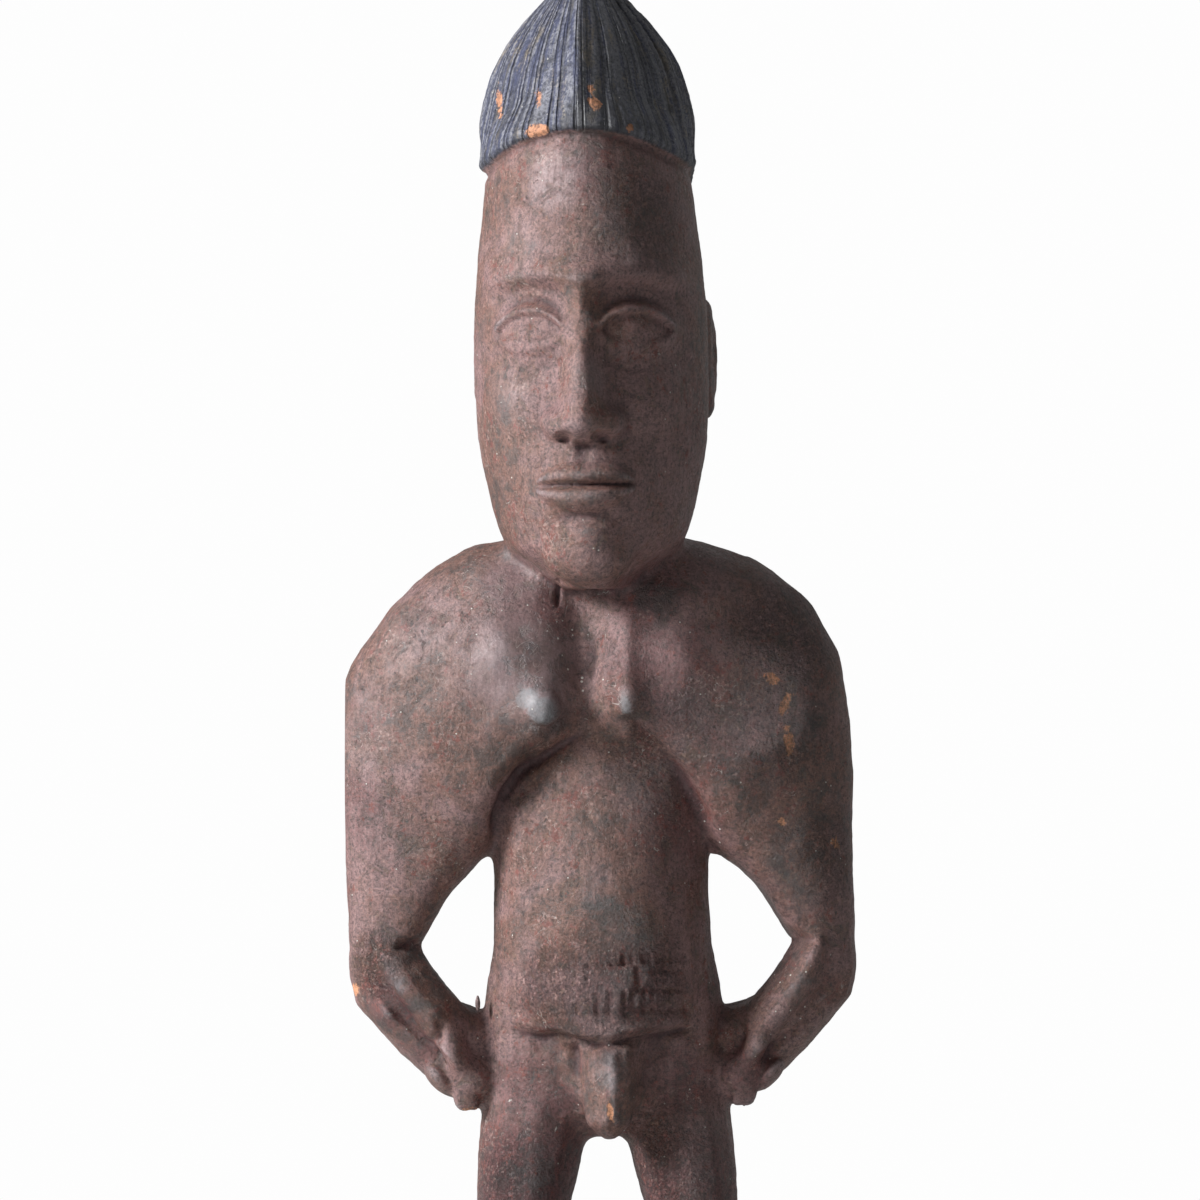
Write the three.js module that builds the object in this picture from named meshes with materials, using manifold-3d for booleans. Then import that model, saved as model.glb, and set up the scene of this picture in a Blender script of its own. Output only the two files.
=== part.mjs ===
// A standing twin figure, carved with its low round base from one block of wood: a tall combed
// coiffure over a long head, sloping shoulders that run straight into heavy arms, hands held at the
// hips, short bent legs and broad feet. Millimetres, +Z up, the front faces -Y, and the origin is
// the middle of the underside of the base.
import * as THREE from "three";
import { LoftGeometry } from "three/addons/geometries/LoftGeometry.js";
import { mergeVertices } from "three/addons/utils/BufferGeometryUtils.js";
import Module from "manifold-3d";

const wasm = await Module();
wasm.setup();

// Driving dimensions
const figureHeight = 288; // top of the base to the tip of the hair, along the figure
const baseHeight = 12;
const baseMargin = 2.5; // wood left round the feet
const baseBevel = 2;
const baseSides = 36;
const leanAngle = 1.1; // degrees, the figure leans in its block to the viewer's left
const headTurn = -4; // degrees about the upright, towards the viewer's left
const chestShift = -2.4; // the breastbone lies that far to the viewer's left
const hairStrands = 40;
const strandDepth = 0.9; // trough to crest
const hairRim = 1.4; // how far the edge of the hair stands off the forehead
const toeCount = 5;
const toeGap = 1.1;
const fingerCount = 4;

// The figure's proportions are given in shares of its height, and `canon` of them make the whole
// height, so at full size one share is a millimetre.
const canon = 288;
const share = figureHeight / canon;

// Levels above the base
const level = {
  sole: -1, // the feet run a little into the base, being one wood with it
  crotch: 72,
  groin: 92, // lower edge of the belly
  elbow: 106.5,
  navel: 121,
  nipple: 151,
  chin: 171,
  hairline: 253.5,
  hairSide: 245,
  hairNape: 228,
  hairTip: 288,
};

// The face is divided in thirds, from hairline to brow, brow to nose and nose to chin, and is five
// eyes wide.
const faceThird = (level.hairline - level.chin) / 3;
const brow = level.hairline - faceThird;
const noseBase = brow - faceThird;
const eyeLine = brow - faceThird * 0.34;
const mouthLine = noseBase - faceThird / 3;
const faceWidth = 42;
const eyeWidth = faceWidth / 5;

const full = Math.PI * 2;
const left = -1;
const right = 1;
const sides = [left, right];
const upright = new THREE.Vector3(0, 0, 1);
const forward = new THREE.Vector3(0, 1, 0);
const sideways = new THREE.Vector3(1, 0, 0);

// Smooth values between stations. Each station is a position and the values there.
function along(...stations) {
  const positions = stations.map((station) => station[0]);
  const values = stations.flatMap((station) => station.slice(1));
  const curve = new THREE.CubicInterpolant(positions, values, stations[0].length - 1, []);
  const first = positions[0];
  const last = positions[positions.length - 1];
  const at = (position) => [...curve.evaluate(position)];
  return { at, first, last };
}

// Equal steps from the first value to the last, both included.
function steps(first, last, count) {
  return Array.from({ length: count + 1 }, (_, i) => first + ((last - first) * i) / count);
}

// The angles of a ring's points.
function turns(count) {
  return steps(0, full, count).slice(1);
}

// A cosine or sine drawn out to a roundness: 2 gives an ellipse, less a keel and more a box.
function rounded(value, roundness) {
  return Math.sign(value) * Math.abs(value) ** (2 / roundness);
}

// How far an outline of two half sizes reaches in a direction, at a roundness.
function reachOf(angle, width, depth, roundness) {
  const across = Math.abs(Math.cos(angle) / width) ** roundness;
  const along = Math.abs(Math.sin(angle) / depth) ** roundness;
  return (across + along) ** (-1 / roundness);
}

// A level ring of points, with its own reach and roundness in front of its axis and behind it.
function ring(columns, { x = 0, y = 0, z, width, front, back, keel = 2, heel = 2 }) {
  return turns(columns).map((angle) => {
    const behind = Math.sin(angle) > 0;
    const reach = reachOf(angle, width, behind ? back : front, behind ? heel : keel);
    return new THREE.Vector3(x + reach * Math.cos(angle), y + reach * Math.sin(angle), z);
  });
}

// From the figure's own shares to millimetres on the base, with the lean of the block.
const heelReach = 11;
const toeReach = 24;
const stance = (toeReach - heelReach) / 2; // the feet stand evenly about the origin
const lean = THREE.MathUtils.degToRad(-leanAngle);
function place(point) {
  point.applyAxisAngle(forward, lean);
  point.y += stance;
  point.multiplyScalar(share);
  point.z += baseHeight;
  return point;
}

// The head is turned about an upright through its middle.
const headAxis = -8;
const turn = THREE.MathUtils.degToRad(headTurn);
function turned(point) {
  point.y -= headAxis;
  point.applyAxisAngle(upright, turn);
  point.y += headAxis;
  return point;
}

function straight(point) {
  return point;
}

// The solid inside a closed geometry.
function solid(geometry) {
  const weld = 1e-4;
  const bare = new THREE.BufferGeometry();
  bare.setAttribute("position", geometry.getAttribute("position"));
  bare.setIndex(geometry.index);
  const merged = mergeVertices(bare, weld);
  return new wasm.Manifold(
    new wasm.Mesh({
      numProp: 3,
      vertProperties: merged.attributes.position.array,
      triVerts: new Uint32Array(merged.index.array),
    }),
  );
}

function middleOf(points) {
  return points.reduce((sum, p) => sum.add(p), new THREE.Vector3()).divideScalar(points.length);
}

// The solid that rings of points enclose. The rings are turned to run counterclockwise about the
// direction that the loft takes.
function loft(rings, pose = straight) {
  const posed = rings.map((points) => points.map((point) => place(pose(point.clone()))));
  const widest = posed[Math.floor(posed.length / 2)];
  const travel = middleOf(posed[posed.length - 1]).sub(middleOf(posed[0]));
  const [a, b, c] = [0, 1 / 3, 2 / 3].map((part) => widest[Math.floor(part * widest.length)]);
  const facing = b.clone().sub(a).cross(c.clone().sub(a));
  if (facing.dot(travel) < 0) posed.forEach((points) => points.reverse());
  return solid(new LoftGeometry(posed, { capStart: true, capEnd: true }));
}

// A geometry of three.js, moved into the figure point by point.
function shaped(geometry, move, pose = straight) {
  const position = geometry.getAttribute("position");
  const point = new THREE.Vector3();
  for (let i = 0; i < position.count; i += 1) {
    place(pose(move(point.fromBufferAttribute(position, i))));
    position.setXYZ(i, point.x, point.y, point.z);
  }
  return solid(geometry);
}

// An egg of wood: a ball drawn out to three half sizes about a centre, and tipped in the plane of
// the shoulders.
function lump([x, y, z], [width, depth, height], { columns = 12, tip = 0, pose = straight } = {}) {
  const ball = new THREE.SphereGeometry(1, columns, Math.ceil(columns * 0.6));
  const centre = new THREE.Vector3(x, y, z);
  const half = new THREE.Vector3(width, depth, height);
  const move = (p) => {
    p.applyAxisAngle(sideways, Math.PI / 2);
    p.multiply(half);
    p.applyAxisAngle(forward, tip);
    return p.add(centre);
  };
  return shaped(ball, move, pose);
}

// A column of level rings, from stations of half width, reach in front and reach behind.
function column(columns, count, body, extra = {}, pose = straight) {
  const rings = steps(body.first, body.last, count).map((z) => {
    const [width, front, back] = body.at(z);
    return ring(columns, { z, width, front, back, ...extra });
  });
  return loft(rings, pose);
}

// Trunk

// The belly ends below in an edge that stands out over the groin.
function trunk() {
  const waist = along(
    // level, half width, front, back
    [level.groin - 1, 16.4, 13.6, 8],
    [level.groin + 1.2, 18.6, 16.6, 10],
    [level.groin + 8, 20, 17.8, 11],
    [level.navel - 9, 19.7, 17.6, 11.5],
    [level.navel, 19.6, 16.2, 12.5],
    [level.navel + 14, 20.4, 13.2, 14.5],
    [level.nipple, 18.6, 11, 15.5],
    [level.nipple + 14, 13.6, 8, 13],
  );
  const drop = 2; // the edge hangs lowest in the middle
  const rings = steps(waist.first, waist.last, 11).map((z, i) => {
    const [width, front, back] = waist.at(z);
    const points = ring(22, { z, width, front, back, keel: 1.85 });
    const hang = drop * Math.max(0, 1 - i / 3);
    points.forEach((p) => {
      p.z -= hang * Math.max(0, 1 - (p.x / width) ** 2) * (p.y < 0);
    });
    return points;
  });
  return loft(rings);
}

function hips() {
  const rise = level.groin - level.crotch;
  const pelvis = along(
    [level.crotch, 5, 4, 5],
    [level.crotch + rise * 0.1, 14, 7, 9],
    [level.crotch + rise * 0.25, 20.6, 9.6, 12.4],
    [level.crotch + rise * 0.5, 22.8, 11, 14.4],
    [level.crotch + rise * 0.85, 22.3, 11.6, 15],
    [level.groin + 6, 21.5, 12.4, 13.8],
    [level.groin + 12, 20.4, 12, 11.8],
    [level.groin + 18, 18.8, 11, 9.6],
  );
  return column(20, 8, pelvis);
}

function buttock(side) {
  return lump([side * 10, 6.8, level.crotch + 11], [11.6, 12, 15], { tip: side * 0.12, columns: 10 });
}

function neck() {
  const throat = along(
    [level.chin - 21, 13.6, 9, 13],
    [level.chin - 9, 14.8, 9.6, 12.5],
    [level.chin + 3, 15.4, 11.5, 11],
    [level.chin + 13, 15, 13, 9],
    [level.chin + 22, 13, 12, 7],
  );
  return column(16, 4, throat);
}

// Arms

// Rings between an inner and an outer outline seen from the front, with the depth at each. A skew
// over 1 brings the fullest part of the ring nearer the inner outline.
function sleeve(columns, count, side, outline, { keel = 2, skew = 1, shift = () => 0 } = {}) {
  return loft(
    steps(outline.first, outline.last, count).map((t) => {
      const [innerX, innerZ, outerX, outerZ, y, depth] = outline.at(t);
      return turns(columns).map((angle) => {
        const across = ((1 + rounded(Math.cos(angle), keel)) / 2) ** skew;
        return new THREE.Vector3(
          side * (innerX + (outerX - innerX) * across) + shift(t),
          y + depth * rounded(Math.sin(angle), keel),
          innerZ + (outerZ - innerZ) * across,
        );
      });
    }),
  );
}

// One mass from the breastbone over the shoulder and down to the elbow.
function upperArm(side) {
  const { nipple, elbow } = level;
  const outline = along(
    // step, inner x and level, outer x and level, middle depth, half depth
    [0, -3, nipple - 2, -3, nipple + 29, 1.5, 11.4],
    [1, 8, nipple - 9, 16.5, nipple + 29.8, 0.8, 18.4],
    [2, 16, nipple - 16.5, 31, nipple + 23.5, 0.8, 17],
    [3, 18.2, nipple - 24, 43, nipple + 10.5, 1.2, 15.2],
    [4, 21.5, elbow + 15.7, 45.7, nipple - 6, 1.8, 12.8],
    [5, 27.4, elbow + 9.9, 45.8, elbow + 21.5, 2.2, 10.6],
    [6, 31.2, elbow + 3.5, 45.8, elbow + 7.5, 2.4, 9],
    [7, 33.4, elbow, 45.4, elbow - 1, 2.4, 7.8],
  );
  const shift = (t) => chestShift * Math.max(0, 1 - t / 3);
  return sleeve(14, 11, side, outline, { keel: 2.2, skew: 1.55, shift });
}

// Two keeled planes with a groove between them run from the elbow to the wrist.
function forearm(side) {
  const below = (part) => level.elbow - (level.elbow - level.groin) * part;
  const near = along(
    // step, inner x and level, outer x and level, middle depth, half depth
    [0, 33, below(-0.07), 42.5, below(-0.1), 0.6, 7.6],
    [1, 31.6, below(0.12), 40.4, below(0.41), -0.6, 8.2],
    [2, 28.2, below(0.45), 36, below(0.79), -1.4, 7.8],
    [3, 24.6, below(0.72), 31.4, below(1.19), -1.8, 6.4],
    [4, 22.6, below(0.89), 28.4, below(1.37), -1.8, 5],
  );
  const far = along(
    [0, 36, below(-0.1), 45.2, below(-0.2), 2.6, 7],
    [1, 36, below(0.24), 45.7, below(0.53), 2.4, 7.4],
    [2, 31.4, below(0.52), 41.4, below(0.98), 2.4, 6.8],
    [3, 23.4, below(0.72), 34.9, below(1.48), 2.2, 6],
    [4, 17.6, below(0.9), 29.8, below(1.77), 2.2, 5.2],
  );
  const nearPlane = sleeve(10, 6, side, near, { keel: 1.7, skew: 0.7 });
  return nearPlane.add(sleeve(10, 6, side, far, { keel: 1.9 }));
}

// The palm lies on the hip with the thumb in front.
function hand(side) {
  const wrist = [side * 24.2, 0.4, level.groin - 8.4];
  const thumbRoot = [side * 27, -5, level.groin - 4.4];
  const palm = lump(wrist, [4.8, 7.6, 6.8], { tip: side * 0.7, columns: 10 });
  return palm.add(lump(thumbRoot, [2.3, 3.2, 5], { tip: side * 0.5, columns: 8 }));
}

// Fingers laid side by side on the thigh, pointing down and back.
function fingers(side) {
  return steps(0, 1, fingerCount - 1).map((part) => {
    const middle = [side * (25.4 - part * 0.8), -4 + part * 8.6, level.groin - 11.4];
    return lump(middle, [2.6, 1.9, 4], { columns: 6 });
  });
}

function breast(side) {
  const bulge = [side * 9.4 + chestShift, -8.4, level.nipple + 1];
  const nipple = [side * 8 + chestShift, -16.6, level.nipple];
  const swelling = lump(bulge, [11, 10, 10], { tip: side * -0.5, columns: 10 });
  return swelling.add(lump(nipple, [3.2, 3.4, 3.4], { columns: 8 }));
}

// Legs and feet

function leg(side) {
  const limb = along(
    // level, middle x, middle y, half width, half depth
    [level.sole, 15.6, 1.5, 6.6, 7.4],
    [level.sole + 8, 15.4, 2.2, 6.2, 7],
    [level.crotch * 0.24, 15.3, 2, 7, 8.4],
    [level.crotch * 0.39, 15.5, 0, 7.9, 9.6],
    [level.crotch * 0.53, 15.6, -2.4, 7.5, 9],
    [level.crotch * 0.7, 15.7, -1.6, 8.1, 10.2],
    [level.crotch - 11, 15.1, 0.4, 8.6, 11.6],
    [level.crotch - 1, 13.3, 1.4, 9.9, 12.6],
    [level.crotch + 12, 11.5, 1.8, 10.2, 10.8],
  );
  const rings = steps(limb.first, limb.last, 10).map((z) => {
    const [x, y, width, depth] = limb.at(z);
    return ring(12, { x: side * x, y, z, width, front: depth, back: depth });
  });
  return loft(rings);
}

const footX = 15.2;
const splay = 0.09;
const footWidth = 8.4;
function foot(side) {
  const sole = along(
    // reach along the foot, half width, height
    [-heelReach, 4.6, 4.5],
    [-heelReach + 3, 6.6, 8.5],
    [0, 7.2, 11],
    [9, 8, 9],
    [17, footWidth, 6.4],
    [toeReach - 2, footWidth - 0.4, 4.6],
    [toeReach, footWidth - 1.6, 3],
  );
  const rings = steps(sole.first, sole.last, 7).map((reach) => {
    const [width, height] = sole.at(reach);
    return turns(12).map((angle) => {
      const up = Math.max(0, Math.sin(angle)) ** 0.8;
      const x = side * (footX + splay * reach) + width * rounded(Math.cos(angle), 2.6);
      return new THREE.Vector3(x, -reach, level.sole + (height - level.sole) * up);
    });
  });
  const toeLength = 7;
  const toeWidth = (2 * footWidth) / toeCount;
  const gaps = steps(1, toeCount - 1, toeCount - 2).map((toe) => {
    const blade = new THREE.CylinderGeometry(toeGap, toeGap, toeLength * 2, 4);
    const middle = side * (footX + splay * toeReach) + (toe - toeCount / 2) * toeWidth;
    return shaped(blade, (p) => p.set(middle + p.x * 0.7, -toeReach + p.y, 4.6 + p.z * 2.4));
  });
  return gaps.reduce((whole, gap) => whole.subtract(gap), loft(rings));
}

// Loins

function loins() {
  const shaft = along(
    // level, half width, front, back
    [level.groin - 19.8, 1.2, 1.6, 1],
    [level.groin - 18.6, 3.4, 3.4, 2],
    [level.groin - 14, 4.6, 4.4, 3],
    [level.groin - 7, 4.8, 4, 4],
    [level.groin, 4.4, 3, 4],
  );
  const pouch = lump([0.6, -8.8, level.groin - 9.4], [7.6, 4.6, 7.6], { columns: 10 });
  return column(12, 6, shaft, { x: 0.6, y: -12, keel: 1.6 }).add(pouch);
}

// Head

// Half width, reach in front and reach behind of the bare head, at each level.
const skull = along(
  [level.chin, 6, 17.6, 0],
  [level.chin + 3.5, 12, 20.8, 7],
  [level.chin + 9, 16.4, 22, 14],
  [mouthLine, 19, 22, 19],
  [noseBase, 20.6, 22.2, 22],
  [eyeLine, faceWidth / 2, 22, 26],
  [brow + 3, 20.2, 23, 28],
  [level.hairSide, 18.4, 21.8, 27.4],
  [level.hairline + 3, 17.4, 20, 25],
);
const faceKeel = 1.8;
const headHeel = 2.1;

// How far forward the bare face reaches at a place on it.
function skin(x, z) {
  const [width, front] = skull.at(z);
  const across = Math.min(1, Math.abs(x) / width);
  return headAxis - front * (1 - across ** faceKeel) ** (1 / faceKeel);
}

// A point that stands off the face, and is turned with it about the given place.
function offFace(spot, x, out, z) {
  const [faceX, faceZ] = spot;
  const reach = 1.5;
  const rise = skin(faceX + reach, faceZ) - skin(faceX - reach, faceZ);
  const point = new THREE.Vector3(x, -out, z);
  point.applyAxisAngle(upright, Math.atan2(rise, 2 * reach));
  return point.add(new THREE.Vector3(faceX, skin(faceX, faceZ), faceZ));
}

function bareHead() {
  return column(24, 11, skull, { y: headAxis, keel: faceKeel, heel: headHeel }, turned);
}

function nose() {
  const bridge = along(
    // level, half width, reach off the face
    [noseBase - 0.8, 3.2, 3],
    [noseBase + 1, 4.4, 6.6],
    [noseBase + 4, 4.2, 7.6],
    [noseBase + 11, 3.4, 5.2],
    [brow - 3, 2.8, 3],
    [brow + 3, 2.2, 0.8],
  );
  const rings = steps(bridge.first, bridge.last, 6).map((z) => {
    const [width, reach] = bridge.at(z);
    return ring(8, { y: skin(0, z) + 3, z, width, front: reach + 3, back: 3, keel: 1.7 });
  });
  const wing = (side) => {
    const centre = [side * 4, skin(4, noseBase) - 1.4, noseBase + 2.4];
    return lump(centre, [2.6, 3.8, 2.8], { columns: 6, pose: turned });
  };
  return loft(rings, turned).add(wing(left)).add(wing(right));
}

// A bulging eye between two heavy lids that meet in points. Their backs run deep into the head.
function eye(side) {
  const middle = [side * eyeWidth * 1.08, eyeLine];
  const width = eyeWidth * 0.64;
  const height = width * 0.64;
  const bulge = 3.2;
  const lidBulge = 1.4;
  const sunk = (out) => (out < 0 ? out * 4 : out);
  const ball = new THREE.SphereGeometry(1, 10, 5);
  const onBall = (p) => p.copy(offFace(middle, p.x * width, sunk(p.z * bulge), p.y * height));
  const lid = new THREE.TorusGeometry(1, 0.28, 4, 12);
  const onLid = (p) => {
    const across = THREE.MathUtils.clamp(p.x, -1, 1);
    const open = 0.75 + 0.35 * Math.sqrt(1 - across ** 2);
    const out = sunk(p.z * 5) + 2 * lidBulge * (1 - across ** 2) - lidBulge / 2;
    return p.copy(offFace(middle, p.x * width * 1.02, out, p.y * height * open));
  };
  return shaped(ball, onBall, turned).add(shaped(lid, onLid, turned));
}

// A roll of wood along the face, between two places across it.
function roll(from, to, count, shape) {
  const rings = steps(from, to, count).map((x) => {
    const [z, height, out] = shape(x);
    return turns(6).map(
      (angle) =>
        new THREE.Vector3(
          x,
          skin(x, z) + 1 - (out + 1) * Math.cos(angle),
          z + height * Math.sin(angle),
        ),
    );
  });
  return loft(rings, turned);
}

function browRidge(side) {
  const reach = faceWidth * 0.43;
  return roll(side * 1.2, side * reach, 7, (x) => {
    const part = Math.abs(x) / reach;
    const arch = brow - 0.6 + 2.4 * Math.sin(part * Math.PI * 0.6) - 2.6 * part ** 2;
    return [arch, 2 - part, 1.6 - part];
  });
}

// A lip is fullest in the middle and ends at the mouth's corners.
function lip(rise, height, out) {
  return roll(-eyeWidth, eyeWidth, 10, (x) => {
    const taper = Math.sqrt(1 - 0.93 * (x / eyeWidth) ** 2);
    return [mouthLine + rise * taper, height * taper, (out + 1) * taper - 1];
  });
}

function chin() {
  const centre = [0, skin(0, level.chin + 6) + 5, level.chin + 6.6];
  return lump(centre, [8.5, 7, 6.2], { pose: turned });
}

function ear(side) {
  const middle = (brow + noseBase) / 2;
  const rim = lump([side * 19.8, 1, middle], [2.8, 6, 10], { columns: 10, pose: turned });
  const hollow = lump([side * 23.2, 0.2, middle + 0.6], [2.4, 3.6, 6.8], { columns: 8, pose: turned });
  return rim.subtract(hollow);
}

// Hair

// The hair stands off the head by its rim at the edge, and draws in above to a narrow tip.
const { hairline, hairSide, hairNape, hairTip } = level;
const crown = along(
  ...[hairNape, hairSide - 8, hairSide, hairline - 3.5].map((z) => [
    z,
    ...skull.at(z).map((reach) => reach + hairRim),
  ]),
  [hairline + 1.5, 19.4, 21.6, 28],
  [hairline + 6.5, 18.4, 20.2, 26],
  [hairline + 11, 16.9, 18.4, 23.4],
  [hairline + 15, 14.8, 16.2, 20],
  [hairTip - 15.5, 11.8, 13.2, 15.6],
  [hairTip - 11, 7.6, 9, 10],
  [hairTip - 7.5, 5, 6.4, 6.6],
  [hairTip - 4, 3.5, 4.4, 4.4],
  [hairTip - 1.4, 2.6, 3.2, 3.2],
  [hairTip, 1.2, 1.4, 1.4],
);

// The level of the hair's edge round the head: highest over the brow and lowest at the nape.
function hairEdge(angle) {
  const ahead = -Math.sin(angle);
  const toFront = hairline - hairSide;
  const toNape = hairSide - hairNape;
  return hairSide + (ahead > 0 ? toFront : -toNape) * ahead ** 2;
}

// Combed strands run from the edge to the tip, a crest and a trough to each, over a keel in front.
function hair() {
  const tipBack = 3; // the tip lies behind the head's axis
  const keelDepth = 0.35;
  const keelRise = 14;
  const rings = steps(0, 1, 7).map((part) =>
    turns(hairStrands * 2).map((angle, i) => {
      const edge = hairEdge(angle);
      const z = edge + (hairTip - edge) * part ** 0.8;
      const [width, front, back] = crown.at(z);
      const rise = Math.max(0, z - hairline);
      const behind = Math.sin(angle) > 0;
      const keel = faceKeel - keelDepth * Math.min(1, rise / keelRise);
      const whole = reachOf(angle, width, behind ? back : front, behind ? headHeel : keel);
      const reach = whole - ((i + 1) % 2) * strandDepth * Math.min(1, width / 8);
      const middle = headAxis + (tipBack * rise) / (hairTip - hairline);
      return new THREE.Vector3(reach * Math.cos(angle), middle + reach * Math.sin(angle), z);
    }),
  );
  return loft(rings, turned);
}

// Base

function base() {
  const outerFoot = footX + splay * toeReach + footWidth - 1.6;
  const radius = Math.hypot(outerFoot, stance + heelReach) * share + baseMargin;
  const profile = [
    [0, 0],
    [radius - baseBevel / 2, 0],
    [radius, baseBevel / 2],
    [radius, baseHeight - baseBevel],
    [radius - baseBevel, baseHeight],
    [0, baseHeight],
  ].map(([r, z]) => new THREE.Vector2(r, z));
  const disc = new THREE.LatheGeometry(profile, baseSides);
  disc.rotateX(Math.PI / 2);
  return solid(disc);
}

// The block as carved

const pieces = [
  base(),
  trunk(),
  hips(),
  neck(),
  loins(),
  bareHead(),
  nose(),
  lip(1.6, 2, 2.6),
  lip(-1.8, 2.2, 2.4),
  chin(),
  hair(),
  ...sides.flatMap((side) => [
    upperArm(side),
    forearm(side),
    hand(side),
    ...fingers(side),
    breast(side),
    buttock(side),
    leg(side),
    foot(side),
    eye(side),
    browRidge(side),
    ear(side),
  ]),
];

const carving = pieces.reduce((whole, piece) => whole.add(piece));

function geometryOf(carved) {
  const mesh = carved.getMesh();
  const geometry = new THREE.BufferGeometry();
  geometry.setAttribute("position", new THREE.BufferAttribute(mesh.vertProperties, 3));
  geometry.setIndex(new THREE.BufferAttribute(mesh.triVerts, 1));
  geometry.computeVertexNormals();
  return geometry;
}

const wood = new THREE.MeshStandardMaterial({ color: 0x6b4a42, roughness: 0.72, metalness: 0 });
const figure = new THREE.Mesh(geometryOf(carving), wood);
figure.name = "figure";

const ibeji = new THREE.Group();
ibeji.add(figure);

export default ibeji;
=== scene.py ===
import math

import bpy
import numpy as np
from mathutils import Matrix, Vector, kdtree


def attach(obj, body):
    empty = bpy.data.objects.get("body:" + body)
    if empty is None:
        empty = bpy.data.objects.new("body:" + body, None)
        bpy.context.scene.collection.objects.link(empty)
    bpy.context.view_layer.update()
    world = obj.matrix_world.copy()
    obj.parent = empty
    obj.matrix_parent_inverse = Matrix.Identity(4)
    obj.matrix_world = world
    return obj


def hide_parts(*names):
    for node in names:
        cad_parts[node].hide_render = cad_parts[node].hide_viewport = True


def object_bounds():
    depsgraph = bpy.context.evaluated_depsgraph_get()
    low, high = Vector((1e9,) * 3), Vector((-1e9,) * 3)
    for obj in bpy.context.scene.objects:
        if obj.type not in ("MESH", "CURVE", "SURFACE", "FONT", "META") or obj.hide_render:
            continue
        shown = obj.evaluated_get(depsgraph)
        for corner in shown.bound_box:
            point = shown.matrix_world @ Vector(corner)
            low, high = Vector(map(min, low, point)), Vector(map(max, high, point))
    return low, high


# A standing twin figure, carved with its low base from one block of wood. One fine carving takes
# the place of the frame's solid. Sizes are millimetres in the figure's own frame, which stands on
# the base and leans with the block, and become metres when a mesh is written.
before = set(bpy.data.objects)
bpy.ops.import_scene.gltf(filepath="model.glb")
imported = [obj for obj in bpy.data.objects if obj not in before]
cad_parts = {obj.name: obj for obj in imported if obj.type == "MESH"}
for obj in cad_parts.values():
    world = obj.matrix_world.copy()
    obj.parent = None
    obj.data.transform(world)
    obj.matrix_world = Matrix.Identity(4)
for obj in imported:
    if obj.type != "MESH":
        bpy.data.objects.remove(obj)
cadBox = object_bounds()
mm = 0.001
rng = np.random.default_rng(7)
print("frame loaded")

block = {
    "baseHeight": 12.0,
    "baseRadius": 32.3,
    "baseBevel": 1.7,
    "stance": 6.5,  # the figure stands that far back on the base
    "lean": 1.1,  # degrees, to the viewer's left
    "headTurn": -4.0,
    "headAxis": -8.0,
}
carving = {
    "roughVoxel": 0.6,
    "roughPasses": 170,  # takes the flats of the frame's faces away
    "weld": 0.01,
    "voxel": 0.42,
    "passes": 5,
    "finePasses": 30,  # the smoother skins that hollows and ridges are read against
    "broadPasses": 260,
    "flat": 0.35,  # what lies lower is the flat underside
    "triangles": 196000,
}

figureFrame = Matrix.Translation((0, block["stance"], block["baseHeight"]))
figureFrame = figureFrame @ Matrix.Rotation(math.radians(-block["lean"]), 4, "Y")
toAxis = Matrix.Translation((0, block["headAxis"], 0))
headTurn = Matrix.Rotation(math.radians(block["headTurn"]), 4, "Z")
headInFigure = toAxis @ headTurn @ toAxis.inverted()


# Tools

def only(piece):
    bpy.ops.object.select_all(action="DESELECT")
    piece.select_set(True)
    bpy.context.view_layer.objects.active = piece


def modify(piece, kind, **settings):
    only(piece)
    step = piece.modifiers.new(kind.capitalize(), kind)
    for name, value in settings.items():
        setattr(step, name, value)
    bpy.ops.object.modifier_apply(modifier=step.name)


def remesh(piece, voxel, passes, group=""):
    modify(piece, "REMESH", mode="VOXEL", voxel_size=voxel * mm)
    if group:
        weigh(piece, group)
    modify(piece, "SMOOTH", factor=0.5, iterations=passes, vertex_group=group)


def moved(matrix, spots):
    turn = np.array(matrix.to_3x3())
    return spots @ turn.T + np.array(matrix.translation)


def readSpots(piece, what="co"):
    values = np.empty(len(piece.data.vertices) * 3)
    piece.data.vertices.foreach_get(what, values)
    return values.reshape(-1, 3)


def readFigure(piece):
    return moved(figureFrame.inverted(), readSpots(piece) / mm)


def readNormals(piece):
    return readSpots(piece, "normal") @ np.array(figureFrame.to_3x3())


def writeFigure(piece, spots):
    piece.data.vertices.foreach_set("co", (moved(figureFrame, spots) * mm).ravel())
    piece.data.update()


def ease(low, high, value):
    part = np.clip((value - low) / (high - low), 0, 1)
    return part * part * (3 - 2 * part)


# Smooth values between stations: each row is a place, then the values there.
def along(table, places):
    table = np.array(table, float)
    knots, values = table[:, 0], table[:, 1:]
    slopes = np.empty_like(values)
    slopes[1:-1] = (values[2:] - values[:-2]) / (knots[2:] - knots[:-2])[:, None]
    slopes[0] = (values[1] - values[0]) / (knots[1] - knots[0])
    slopes[-1] = (values[-1] - values[-2]) / (knots[-1] - knots[-2])
    i = np.clip(np.searchsorted(knots, places) - 1, 0, len(knots) - 2)
    span = (knots[i + 1] - knots[i])[:, None]
    t = np.clip((places - knots[i])[:, None] / span, 0, 1)
    start = values[i] * (1 + 2 * t) + slopes[i] * span * t
    end = values[i + 1] * (3 - 2 * t) - slopes[i + 1] * span * (1 - t)
    return (start * (1 - t) ** 2 + end * t**2).T


# How far an outline of two half sizes reaches in a direction, at a roundness.
def reachOf(angle, width, depth, roundness):
    across = np.abs(np.cos(angle) / width) ** roundness
    ahead = np.abs(np.sin(angle) / depth) ** roundness
    return (across + ahead) ** (-1 / roundness)


# The rough carving, a smooth copy of the frame's solid

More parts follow.
